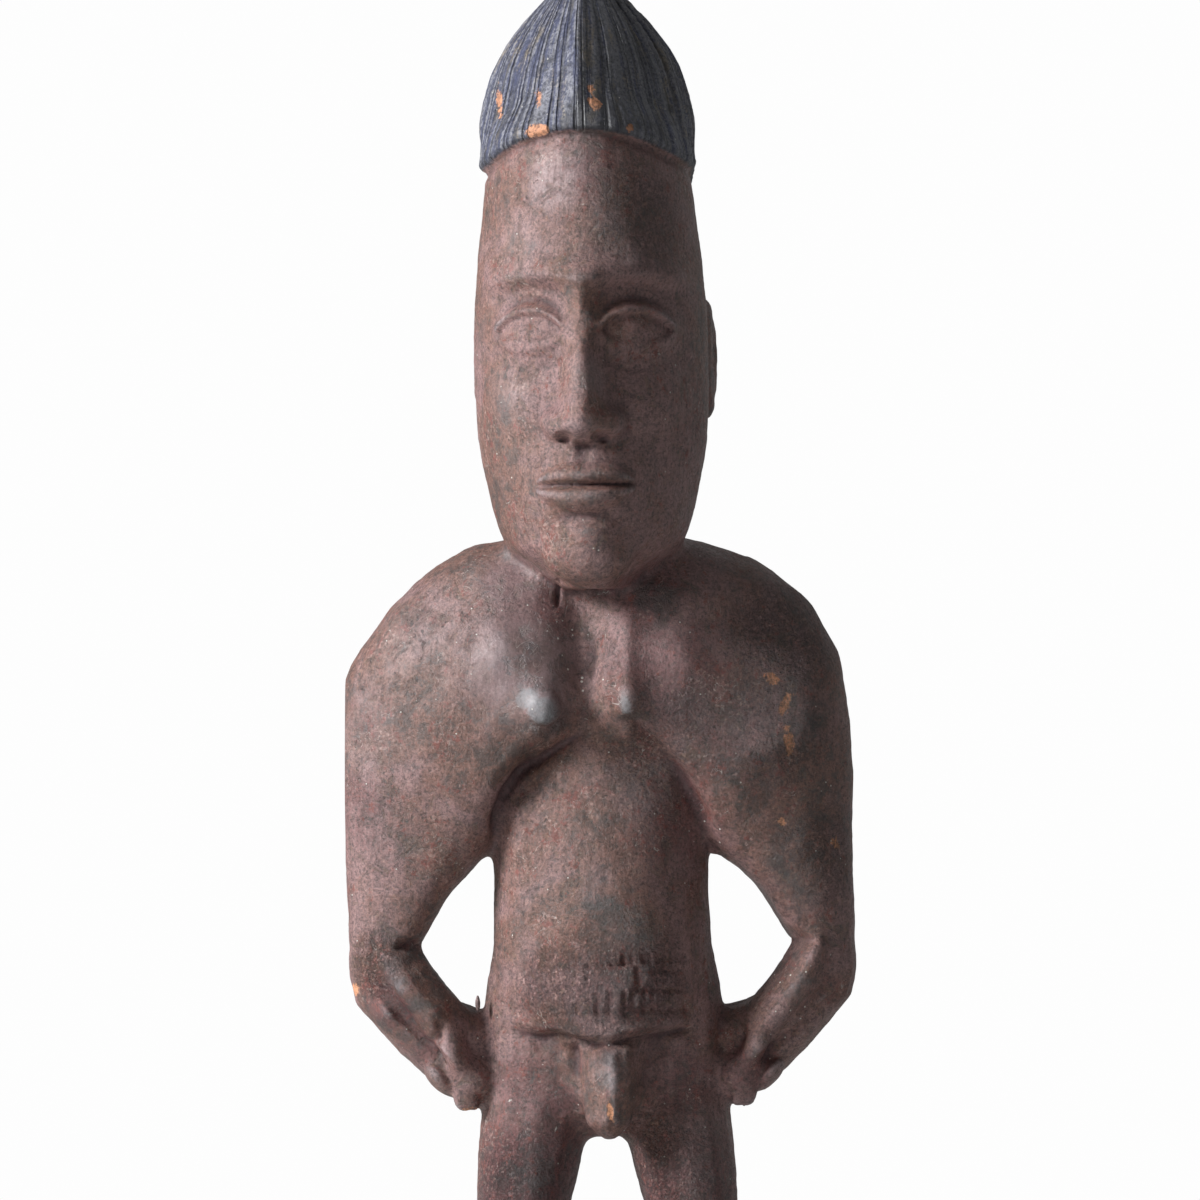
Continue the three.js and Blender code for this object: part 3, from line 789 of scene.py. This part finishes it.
# Hollow and raised places, found against a smoother copy of the skin
def relief(piece, passes):
    smoother = bpy.data.objects.new("smoother", piece.data.copy())
    bpy.context.scene.collection.objects.link(smoother)
    modify(smoother, "SMOOTH", factor=0.5, iterations=passes)
    gap = ((readSpots(piece) - readSpots(smoother)) * readSpots(piece, "normal")).sum(1) / mm
    mesh = smoother.data
    bpy.data.objects.remove(smoother)
    bpy.data.meshes.remove(mesh)
    return gap


trim(figure)
fineRelief = relief(figure, carving["finePasses"])
broadRelief = relief(figure, carving["broadPasses"])
tree = kdtree.KDTree(len(figure.data.vertices))
for i, vertex in enumerate(figure.data.vertices):
    tree.insert(vertex.co, i)
tree.balance()
print("relief read")

# Fewer faces; each point keeps the relief that was read nearest to it.
triangles = sum(len(polygon.vertices) - 2 for polygon in figure.data.polygons)
modify(figure, "DECIMATE", ratio=carving["triangles"] / triangles)
trim(figure)
nearest = np.array([tree.find(vertex.co)[1] for vertex in figure.data.vertices])
fineRelief, broadRelief = fineRelief[nearest], broadRelief[nearest]
print("carving", len(figure.data.vertices), "vertices", len(figure.data.polygons), "faces")


# What the brush knows about the skin, kept on its points
def keep(name, values):
    layer = figure.data.attributes.new(name, "FLOAT", "POINT")
    layer.data.foreach_set("value", np.clip(values, 0, 1).astype(np.float32))


# Small spots: middle x and level, half sizes, turn in degrees
chips = [
    (31.3, 154.1, 1.3, 0.9, -40),
    (33.7, 149.6, 0.9, 1.9, -25),
    (34.2, 142.5, 0.8, 2.9, 5),
    (32.6, 128.6, 0.9, 0.9, 0),
    (42.3, 124.5, 0.6, 1.2, 10),
    (-44.9, 99.4, 0.8, 1.0, 0),
    (0.9, 77.2, 0.45, 1.5, 5),
    (-24.3, 77.4, 1.0, 0.5, 0),
    (-8.8, 252.4, 2.0, 1.1, 5),
    (-15.6, 258.4, 0.45, 2.2, 4),
    (-8.5, 258.2, 0.35, 1.0, 0),
    (1.4, 256.6, 0.9, 1.3, 20),
    (0.8, 259.4, 0.7, 0.6, 0),
    (7.6, 252.8, 0.45, 0.7, 0),
]
whites = [
    (-17.1, 79.4, 0.55, 0.3, 30),
    (-9.0, 73.9, 0.2, 0.65, -10),
    (0.4, 119.4, 0.3, 0.2, 0),
]
greys = [(-10.0, 149.4, 2.6, 2.3, -30), (-12.6, 151.6, 2.2, 1.6, 20), (4.9, 150.2, 1.0, 1.9, 8)]
# Larger places that the brush treats: middle, reach, strength
areas = {
    "camwood": [  # red powder left on the wood
        ((-45, -4, 132), 15, 0.8),
        ((-44, -8, 150), 11, 0.6),
        ((-38, -5, 96), 10, 1.0),
        ((-34, -3, 89), 9, 0.8),
        ((-9, -12, 78), 8, 1.2),
        ((4, -16, 100), 14, 0.7),
        ((-30, -8, 164), 9, 0.5),
        ((-3, -18, 138), 10, 0.6),
        ((12, -14, 156), 17, 0.9),
        ((8, -14, 170), 12, 0.9),
        ((-8, -12, 168), 8, 0.8),
        ((24, -10, 142), 16, 0.7),
        ((14, -10, 128), 14, 0.7),
        ((36, 0, 100), 11, 0.9),
        ((26, -4, 84), 9, 0.9),
        ((-6, -13, 86), 5, 0.9),
        ((-36, 0, 108), 8, 0.7),
        ((0, 14, 120), 22, 0.7),
        ((0, 14, 84), 14, 0.8),
        ((14, -6, 60), 22, 1.0),
        ((-14, -8, 66), 22, 1.2),
        ((-16, -6, 40), 18, 0.9),
        ((16, -8, 40), 18, 0.8),
        ((14, -12, 82), 12, 1.0),
        ((-14, -10, 82), 12, 1.0),
        ((0, -26, 246), 12, 0.6),
        ((18, -10, 200), 20, 0.6),
        ((-20, 4, 190), 12, 0.5),
    ],
    # soot, and below the chin a painted shadow
    "sootAndShadow": [  # greenish black
        ((-9, -20, 147.4), 4, 1.0),
        ((-12, -18, 160), 7, 0.5),
        ((-3, -14, 164), 6, 0.6),
        ((-39, -7, 107), 6, 1.0),
        ((-38, -8, 100), 5, 0.9),
        ((-34, -8, 95), 4, 0.7),
        ((0.9, -19, 113.8), 6, 1.1),
        ((-12, -16, 118), 7, 0.6),
        ((1, -17, 85), 5, 1.1),
        ((1, -17, 78), 3, 1.0),
        ((-12, -16, 92), 6, 0.8),
        ((-14, -10, 66), 10, 0.7),
        ((-39, -8, 128), 10, 0.5),
        ((-34, -12, 162), 8, 0.5),
        ((36, -10, 148), 10, 0.7),
        ((26, -14, 152), 7, 0.7),
        # a painted shadow: the chin's shadow on the right of the chest
        ((10, -14, 169), 8, 1.0),
        ((-2.6, -18, 135), 1.6, 1.3),
        ((-2, -18, 131), 1.6, 1.3),
        ((-1.8, -18, 127), 1.6, 1.2),
        ((3, -30, 254), 9, 1.2),
        ((14, -26, 254), 8, 0.9),
        ((0, 18, 150), 14, 0.6),
        ((-16, 12, 96), 10, 0.5),
        ((16, 6, 30), 14, 0.6),
    ],
    "dust": [  # white specks lie thick
        ((-2.8, -15, 156), 5.5, 1.5),
        ((-5, -14, 163), 7, 0.7),
        ((20, -8, 126), 5, 0.6),
        ((34, -6, 98), 8, 0.4),
        ((-20, -8, 126), 4, 0.8),
        ((-16, -24, 258), 8, 0.5),
    ],
    # rubbed places, also painted lighter there: a painted sheen highlight, mostly on the lit left side
    "polishAndSheen": [  # rubbed smooth and waxy
        ((-13, -18, 157), 18, 1.3),
        ((-30, -10, 160), 20, 0.6),
        ((-40, -6, 146), 16, 0.6),
        ((-16, -10, 172), 12, 0.9),
        ((-9.6, -20.4, 150.4), 4.2, 0.9),
        ((5, -19, 151), 3.5, 0.6),
        ((-5, -18, 141), 6, 0.5),
        ((-5, -20, 129), 8, 1.0),
        ((-1, -21, 118), 8, 1.0),
        ((-6, -28, 244), 10, 0.8),
        ((-14, -26, 232), 10, 0.5),
        ((-16, -24, 205), 10, 0.7),
        ((0, -34, 208), 6, 0.8),
        ((0, -17, 84), 5, 0.7),
        ((-38, -8, 101), 4, 0.7),
        ((36, -8, 98), 5, 0.5),
        ((-26, 12, 158), 12, 0.6),
        ((14, 16, 84), 8, 0.5),
        ((-14, 16, 84), 8, 0.6),
    ],
    "crusty": [  # thick crust in small lumps
        ((33, -6, 160), 14, 1.0),
        ((30, -8, 146), 14, 0.8),
        ((14, -14, 146), 12, 0.7),
        ((8, -16, 138), 10, 0.9),
        ((4, -18, 100), 16, 0.9),
        ((-8, -18, 98), 12, 0.7),
        ((38, -4, 122), 12, 0.7),
        ((-40, -4, 104), 8, 0.6),
        ((-9, -16, 148), 5, 0.6),
        ((12, -8, 66), 16, 0.8),
        ((-14, -8, 60), 16, 0.6),
        ((8, -24, 236), 12, 0.6),
        ((10, 16, 140), 20, 0.5),
        ((-12, 12, 110), 20, 0.5),
        ((0, 10, 60), 24, 0.5),
    ],
}


# 0.5 on the rim of a spot, more inside it and less outside, a sixth for each millimetre
def paintSpots(places, spots, normals):
    inside = np.full(len(spots), -3.0)
    for midX, midZ, halfX, halfZ, turn in places:
        c, s = math.cos(math.radians(turn)), math.sin(math.radians(turn))
        dx, dz = spots[:, 0] - midX, spots[:, 2] - midZ
        across, up = dx * c + dz * s, dz * c - dx * s
        reach = (1 - np.hypot(across / halfX, up / halfZ)) * min(halfX, halfZ)
        inside = np.maximum(inside, np.where(normals[:, 1] < -0.1, reach, -3))
    return 0.5 + inside / 6


def paintSkin():
    spots, normals = readFigure(figure), readNormals(figure)
    x, y, z = moved(headInFigure.inverted(), spots).T
    angle = np.arctan2(y - block["headAxis"], x)
    above = np.where(z > hair["nape"] - 2, z - hairEdge(angle), -9)
    keep("hair", 0.5 + above / 8)
    keep("chip", paintSpots(chips, spots, normals))
    keep("white", paintSpots(whites, spots, normals))
    keep("grey", paintSpots(greys, spots, normals))
    for name, places in areas.items():
        amount = np.zeros(len(spots))
        for middle, reach, strength in places:
            far = np.linalg.norm(spots - middle, axis=1)
            amount = np.maximum(amount, strength * ease(reach, reach * 0.25, far))
        keep(name, amount / 2)
    keep("hollow", -broadRelief / 1.6 - fineRelief / 1.2)
    keep("raised", broadRelief / 2.4 + fineRelief / 0.8)


paintSkin()
only(figure)
bpy.ops.object.shade_smooth()
print("skin painted")


# Materials


# A socket whose sums are written as Python
class Wire:
    def __init__(self, paint, socket):
        self.paint, self.socket = paint, socket

    def __add__(self, other):
        return self.paint.math("ADD", self, other)

    def __radd__(self, other):
        return self.paint.math("ADD", other, self)

    def __sub__(self, other):
        return self.paint.math("SUBTRACT", self, other)

    def __rsub__(self, other):
        return self.paint.math("SUBTRACT", other, self)

    def __mul__(self, other):
        return self.paint.math("MULTIPLY", self, other)

    def __rmul__(self, other):
        return self.paint.math("MULTIPLY", other, self)


# A material and the nodes that mix it
class Paint:
    def __init__(self, name):
        self.material = bpy.data.materials.new(name)
        self.material.use_nodes = True
        self.tree = self.material.node_tree
        self.shader = self.tree.nodes["Principled BSDF"]

    def node(self, kind, settings, inputs, output=0):
        made = self.tree.nodes.new(kind)
        for name, value in settings.items():
            setattr(made, name, value)
        for socket, value in inputs.items():
            if isinstance(value, Wire):
                self.tree.links.new(value.socket, made.inputs[socket])
            else:
                made.inputs[socket].default_value = value
        return Wire(self, made.outputs[output])

    def feed(self, socket, value):
        self.tree.links.new(value.socket, self.shader.inputs[socket])

    def math(self, operation, *values):
        return self.node("ShaderNodeMath", {"operation": operation}, dict(enumerate(values)))

    def attribute(self, name):
        return self.node("ShaderNodeAttribute", {"attribute_name": name}, {}, "Fac")

    def noise(self, place, size, detail, roughness, distortion=0.0):
        inputs = {"Vector": place, "Scale": 1 / size, "Detail": detail, "Roughness": roughness}
        inputs["Distortion"] = distortion
        return self.node("ShaderNodeTexNoise", {}, inputs)

    def cells(self, place, scale, output, **more):
        inputs = {"Vector": place, "Scale": scale, **more}
        return self.node("ShaderNodeTexVoronoi", {}, inputs, output)

    def red(self, color):
        return self.node("ShaderNodeSeparateColor", {}, {0: color}, 0)

    def ease(self, value, low, high):
        inputs = {"Value": value, "From Min": low, "From Max": high}
        return self.node("ShaderNodeMapRange", {"interpolation_type": "SMOOTHSTEP"}, inputs)

    def mix(self, amount, first, second):
        inputs = {0: amount, 6: first, 7: second}
        return self.node("ShaderNodeMix", {"data_type": "RGBA"}, inputs, 2)

    def stretch(self, place, scale, turn=(0, 0, 0)):
        return self.node("ShaderNodeMapping", {}, {"Vector": place, "Scale": scale, "Rotation": turn})


# A colour as it looks on a screen, made linear for the shader
def tone(*color):
    parts = (c / 255 for c in color)
    return tuple(c / 12.92 if c < 0.0404 else ((c + 0.055) / 1.055) ** 2.4 for c in parts) + (1,)


wood = {
    "mauve": tone(127, 97, 96),
    "brown": tone(110, 77, 67),
    "pale": tone(154, 127, 120),
    "ochre": tone(142, 106, 84),
    "sootAndShadow": tone(47, 47, 47),
    "deep": tone(60, 28, 34),
    "red": tone(94, 54, 56),
    "spot": tone(104, 52, 44),
    # a painted highlight: the pale grey of the waxy gloss where the key light falls
    "paintedSheen": tone(150, 142, 147),
    "grey": tone(134, 140, 145),
    "chip": tone(202, 143, 108),
    "fleck": tone(225, 222, 215),
    "indigo": tone(54, 60, 90),
    "dust": tone(116, 117, 126),
    "night": tone(24, 25, 34),
    "straw": tone(134, 120, 94),
}


# Lumps of colour and height: size in millimetres, detail, roughness, distortion
grains = {
    "zone": (26, 3, 0.55),
    "patch": (9, 8, 0.68, 0.5),
    "cloud": (4.4, 8, 0.74, 0.8),
    "blot": (3.1, 8, 0.75, 0.4),
    "mottle": (1.9, 6, 0.72),
    "clump": (1.0, 6, 0.78),
    "grit": (0.55, 5, 0.8),
}


def patina():
    p = Paint("patinatedWood")
    place = p.node("ShaderNodeTexCoord", {}, {}, "Object")
    place = p.stretch(place, (1000, 1000, 1000))  # in millimetres
    zone, patch, cloud, blot, mottle, clump, grit = (p.noise(place, *grains[name]) for name in grains)
    grain = p.noise(p.stretch(place, (1, 1, 0.16)), 0.8, 5, 0.75)
    vein = p.noise(p.stretch(place, (1, 1, 0.04)), 1.1, 5, 0.65, 0.3)
    sand = p.red(p.cells(place, 2.1, "Color")) - 0.5
    lumps = p.cells(place, 0.9, "Distance", Detail=1.0, Roughness=0.7)
    fine = (grit - 0.5) + sand * 0.09

    hollow, raised = p.attribute("hollow"), p.attribute("raised")
    camwood, sootAndShadow, dust, polishAndSheen, crusty = (p.attribute(name) * 2 for name in areas)

    # wood, from mauve to brown, with ochre clouds, red powder, soot and a painted shadow under the chin,
    # and small red-brown spots
    color = p.mix(p.ease(zone + (patch - 0.5) * 0.8, 0.38, 0.62), wood["mauve"], wood["brown"])
    color = p.mix(p.ease(mottle + fine * 0.3, 0.5, 0.66) * 0.35, color, wood["pale"])
    ochre = p.ease(cloud * 0.7 + clump * 0.3 + fine * 0.3, 0.53, 0.61)
    color = p.mix(ochre * 0.55, color, wood["ochre"])
    powder = p.ease(patch * 0.5 + mottle * 0.5 + camwood * 0.14 + fine * 0.3, 0.53, 0.62)
    color = p.mix(powder * (camwood * 0.6 + 0.12), color, wood["red"])
    sootyAndShaded = p.ease(cloud + sootAndShadow * 0.12 + fine * 0.5, 0.55, 0.63)
    color = p.mix(sootyAndShaded * (sootAndShadow * 0.15 + 0.5), color, wood["sootAndShadow"])
    speckle = p.ease(blot + (zone - 0.5) * 0.6 + fine * 0.5, 0.59, 0.62)
    color = p.mix(speckle * 0.6, color, wood["sootAndShadow"])
    spot = p.ease(mottle + (patch - 0.5) * 0.6 + fine * 0.35, 0.61, 0.64)
    color = p.mix(spot * 0.85, color, wood["spot"])
    pore = p.ease(sand + (cloud - 0.5) * 1.2 + (mottle - 0.5) * 0.8, 0.5, 0.56)
    color = p.mix(pore * 0.6, color, wood["sootAndShadow"])
    crack = p.ease(clump * 0.6 + mottle * 0.4 + fine * 0.2, 0.5, 0.44)
    color = p.mix(crack * crusty * 0.4, color, wood["deep"])
    crumb = p.ease(sand + (patch - 0.5) * 1.4, 0.5, 0.54)
    color = p.mix(crumb * 0.4, color, wood["pale"])

    # worn and lighter on the ridges and rubbed places, partly a painted sheen highlight; dark in the
    # hollows
    wornAndSheen = p.ease(raised + polishAndSheen * 0.3 + (mottle - 0.5) * 0.9, 0.3, 1.0)
    color = p.mix(wornAndSheen * 0.38 + p.ease(polishAndSheen, 0, 1.6) * 0.3, color, wood["paintedSheen"])
    deep = p.ease(hollow + (mottle - 0.5) * 0.5, 0.2, 0.95)
    color = p.mix(deep * 0.8, color, wood["deep"])

    # hair: dusty indigo on combed strands, which run as those of the carving do
    lean, turned = math.radians(block["lean"]), math.radians(-block["headTurn"])
    upright = p.stretch(place, (1, 1, 1), (0, lean, turned))
    x, y, z = (p.node("ShaderNodeSeparateXYZ", {}, {0: upright}, i) for i in range(3))
    ahead = y - (block["headAxis"] + block["stance"]) - p.ease(z, 265, 300) * 3
    turn = p.math("ARCTAN2", ahead, x) * (1 / (2 * math.pi))
    comb = p.node("ShaderNodeCombineXYZ", {}, {0: turn * 110, 1: z * 0.07, 2: 0.0})
    streak = p.noise(comb, 1, 3, 0.6)
    longStreak = p.noise(p.stretch(comb, (0.3, 1.4, 1)), 1, 4, 0.65)
    sway = p.math("SINE", turn * (18 * math.pi) + 1) * 0.35
    ripple = p.math("SINE", turn * (46 * math.pi) + z * (1 / 17)) * 0.3
    apart = p.math("PINGPONG", turn * hair["strands"] + sway + ripple, 0.5)
    groove = p.ease(apart, 0.26, 0.04) * p.ease(streak, 0.3, 0.6)
    # lighter on the strands' ridges, a painted highlight, and towards the viewer's right, painted light on
    # the side in shade; then dust in streaks
    dustAndPaintedLight = p.ease(apart, 0.2, 0.5) * 0.1 + p.ease(x, -4, 8) * 0.07
    dustAndPaintedLight = p.ease(streak * 0.6 + mottle * 0.4 + fine * 0.5 + dustAndPaintedLight, 0.46, 0.63)
    edge = p.attribute("hair") + (mottle - 0.5) * 0.12
    locks = p.mix(dustAndPaintedLight, wood["indigo"], wood["dust"])
    locks = p.mix(p.ease(longStreak + fine * 0.5, 0.54, 0.68) * 0.6, locks, wood["straw"])
    # painted shade in the combed grooves
    locks = p.mix(groove * 0.65, locks, wood["night"])
    locks = p.mix(p.ease(hollow + (mottle - 0.5) * 0.5, 0.1, 0.5) * 0.7, locks, wood["night"])
    locks = p.mix(p.ease(cloud + sootAndShadow * 0.2 + fine * 0.3, 0.54, 0.66) * 0.75, locks, wood["night"])
    locks = p.mix(p.ease(edge + (patch - 0.5) * 0.3, 0.75, 0.5) * 0.6, locks, wood["night"])
    inHair = p.ease(edge, 0.47, 0.53)
    color = p.mix(inHair, color, locks)

    # fresh wood in the chips
    chip = p.ease(p.attribute("chip") + (mottle - 0.5) * 0.4 + fine * 0.12, 0.47, 0.52)
    color = p.mix(chip * (0.9 + (clump - 0.5) * 0.6), color, wood["chip"])

    # light and dark of the fine grain, weaker where the wood is rubbed smooth
    strong = 1 - p.ease(polishAndSheen, 0.1, 1.2) * 0.6
    value = fine * 3.2 + (clump - 0.5) * 1.2 + (grain - 0.5) * 0.4 + (mottle - 0.5) * 0.6
    value = value * strong + (vein - 0.5) * 0.9 + 1
    value = p.ease(value, 0.2, 1.5) * 1.2 + 0.2
    color = p.node("ShaderNodeVectorMath", {"operation": "SCALE"}, {0: color, "Scale": value})

    # scratches, grey rubbed places and stray white flecks
    contour = p.math("ABSOLUTE", p.noise(place, 5, 2, 0.5, 1.2) - 0.5)
    scratch = p.ease(contour, 0.004, 0.001) * p.ease(patch + polishAndSheen * 0.05, 0.57, 0.6)
    color = p.mix(scratch * 0.4, color, wood["fleck"])
    near = p.cells(place, 1.1, "Distance", Randomness=1.0)
    which = p.red(p.cells(place, 1.1, "Color", Randomness=1.0))
    fleck = p.ease(near - dust * 0.09, 0.2, 0.12) * p.ease(which + dust * 0.3, 0.975, 0.985)
    white = p.ease(p.attribute("white") + fine * 0.1, 0.48, 0.53)
    grey = p.ease(p.attribute("grey") + (mottle - 0.5) * 0.3 + fine * 0.25, 0.44, 0.56)
    color = p.mix(grey * (0.5 + (clump - 0.5) * 1.2), color, wood["grey"])
    color = p.mix(fleck * 0.95, color, wood["fleck"])
    color = p.mix(white, color, wood["fleck"])

    rough = 0.52 + (mottle - 0.5) * 0.5 - fine * 0.5
    rough = rough - polishAndSheen * 0.08 - wornAndSheen * 0.06 + chip * 0.2 + grey * 0.15

    height = (mottle * 0.5 + clump * 0.5 + grain * 0.15 + fine * 0.4) * strong
    height = height - chip * 0.35 + fleck * 0.3 - pore * 0.15
    flaky = p.ease(clump + fine * 0.2, 0.46, 0.55) * 0.6
    flaky = flaky + p.ease(mottle + fine * 0.2, 0.46, 0.54) * 0.7 - lumps * 0.5
    height = height + flaky * crusty * 1.7 - p.ease(cloud, 0.5, 0.7) * 0.25
    height = height + (streak * 0.5 - groove * 1.4) * inHair
    bumps = {"Strength": 0.8, "Distance": 0.5 * mm, "Height": height}

    p.feed("Base Color", color)
    p.feed("Roughness", rough)
    p.feed("Normal", p.node("ShaderNodeBump", {}, bumps))
    p.shader.inputs["Specular IOR Level"].default_value = 0.75
    return p.material


figure.data.materials.clear()
figure.data.materials.append(patina())
figure.data.name = "carvedFigure"
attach(figure, "root")
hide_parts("figure")
print("patina mixed")

# Studio

studio = {
    "cameraPlace": (-2.5, -1300, 180.9),
    "frameWidth": 216.0,  # what the camera takes in at the figure
    "aim": (0, 0, 180),
    "key": {"place": (-680, -280, 500), "size": 300, "power": 11.0},
    "fill": {"place": (900, -900, 260), "size": 900, "power": 0.1},
    "floor": 820,
    "floorColor": (236, 236, 234),
    "air": 0.04,  # how bright the air is, and how bright in reflections
    "gloss": 0.4,
    "airColor": (0.985, 0.985, 0.985, 1),
}


def addCamera():
    lens = bpy.data.cameras.new("camera")
    x, y, z = studio["cameraPlace"]
    lens.sensor_width = 36
    lens.lens = 36 * -y / studio["frameWidth"]
    camera = bpy.data.objects.new("camera", lens)
    camera.location = (x * mm, y * mm, z * mm)
    camera.rotation_euler = (math.pi / 2, 0, 0)
    bpy.context.scene.collection.objects.link(camera)
    bpy.context.scene.camera = camera


def addLight(name, place, size, power):
    lamp = bpy.data.lights.new(name, "AREA")
    lamp.shape = "DISK"
    lamp.size = size * mm
    lamp.energy = power
    light = bpy.data.objects.new(name, lamp)
    light.location = [c * mm for c in place]
    beam = Vector(studio["aim"]) - Vector(place)
    light.rotation_euler = beam.to_track_quat("-Z", "Y").to_euler()
    bpy.context.scene.collection.objects.link(light)


def addFloor():
    bpy.ops.object.select_all(action="DESELECT")
    bpy.ops.mesh.primitive_circle_add(vertices=128, radius=studio["floor"] * mm, fill_type="NGON")
    floor = bpy.context.object
    floor.name = "floor"
    pale = Paint("paleFloor")
    pale.shader.inputs["Base Color"].default_value = tone(*studio["floorColor"])
    pale.shader.inputs["Roughness"].default_value = 0.8
    floor.data.materials.append(pale.material)


# The air is plain white to the eye and gives a little light all round.
def addAir():
    world = bpy.data.worlds.new("air")
    world.use_nodes = True
    nodes, links = world.node_tree.nodes, world.node_tree.links
    bpy.context.scene.world = world
    ray = nodes.new("ShaderNodeLightPath")
    forGloss, forEye = nodes.new("ShaderNodeMix"), nodes.new("ShaderNodeMix")
    forGloss.inputs[2].default_value = studio["air"]
    forGloss.inputs[3].default_value = studio["gloss"]
    forEye.inputs[3].default_value = 1.0
    links.new(ray.outputs["Is Glossy Ray"], forGloss.inputs[0])
    links.new(ray.outputs["Is Camera Ray"], forEye.inputs[0])
    links.new(forGloss.outputs[0], forEye.inputs[2])
    links.new(forEye.outputs[0], nodes["Background"].inputs["Strength"])
    nodes["Background"].inputs["Color"].default_value = studio["airColor"]


addCamera()
for name in ("key", "fill"):
    addLight(name, **studio[name])
addFloor()
addAir()
bpy.context.scene.view_settings.view_transform = "Standard"
print("studio ready")
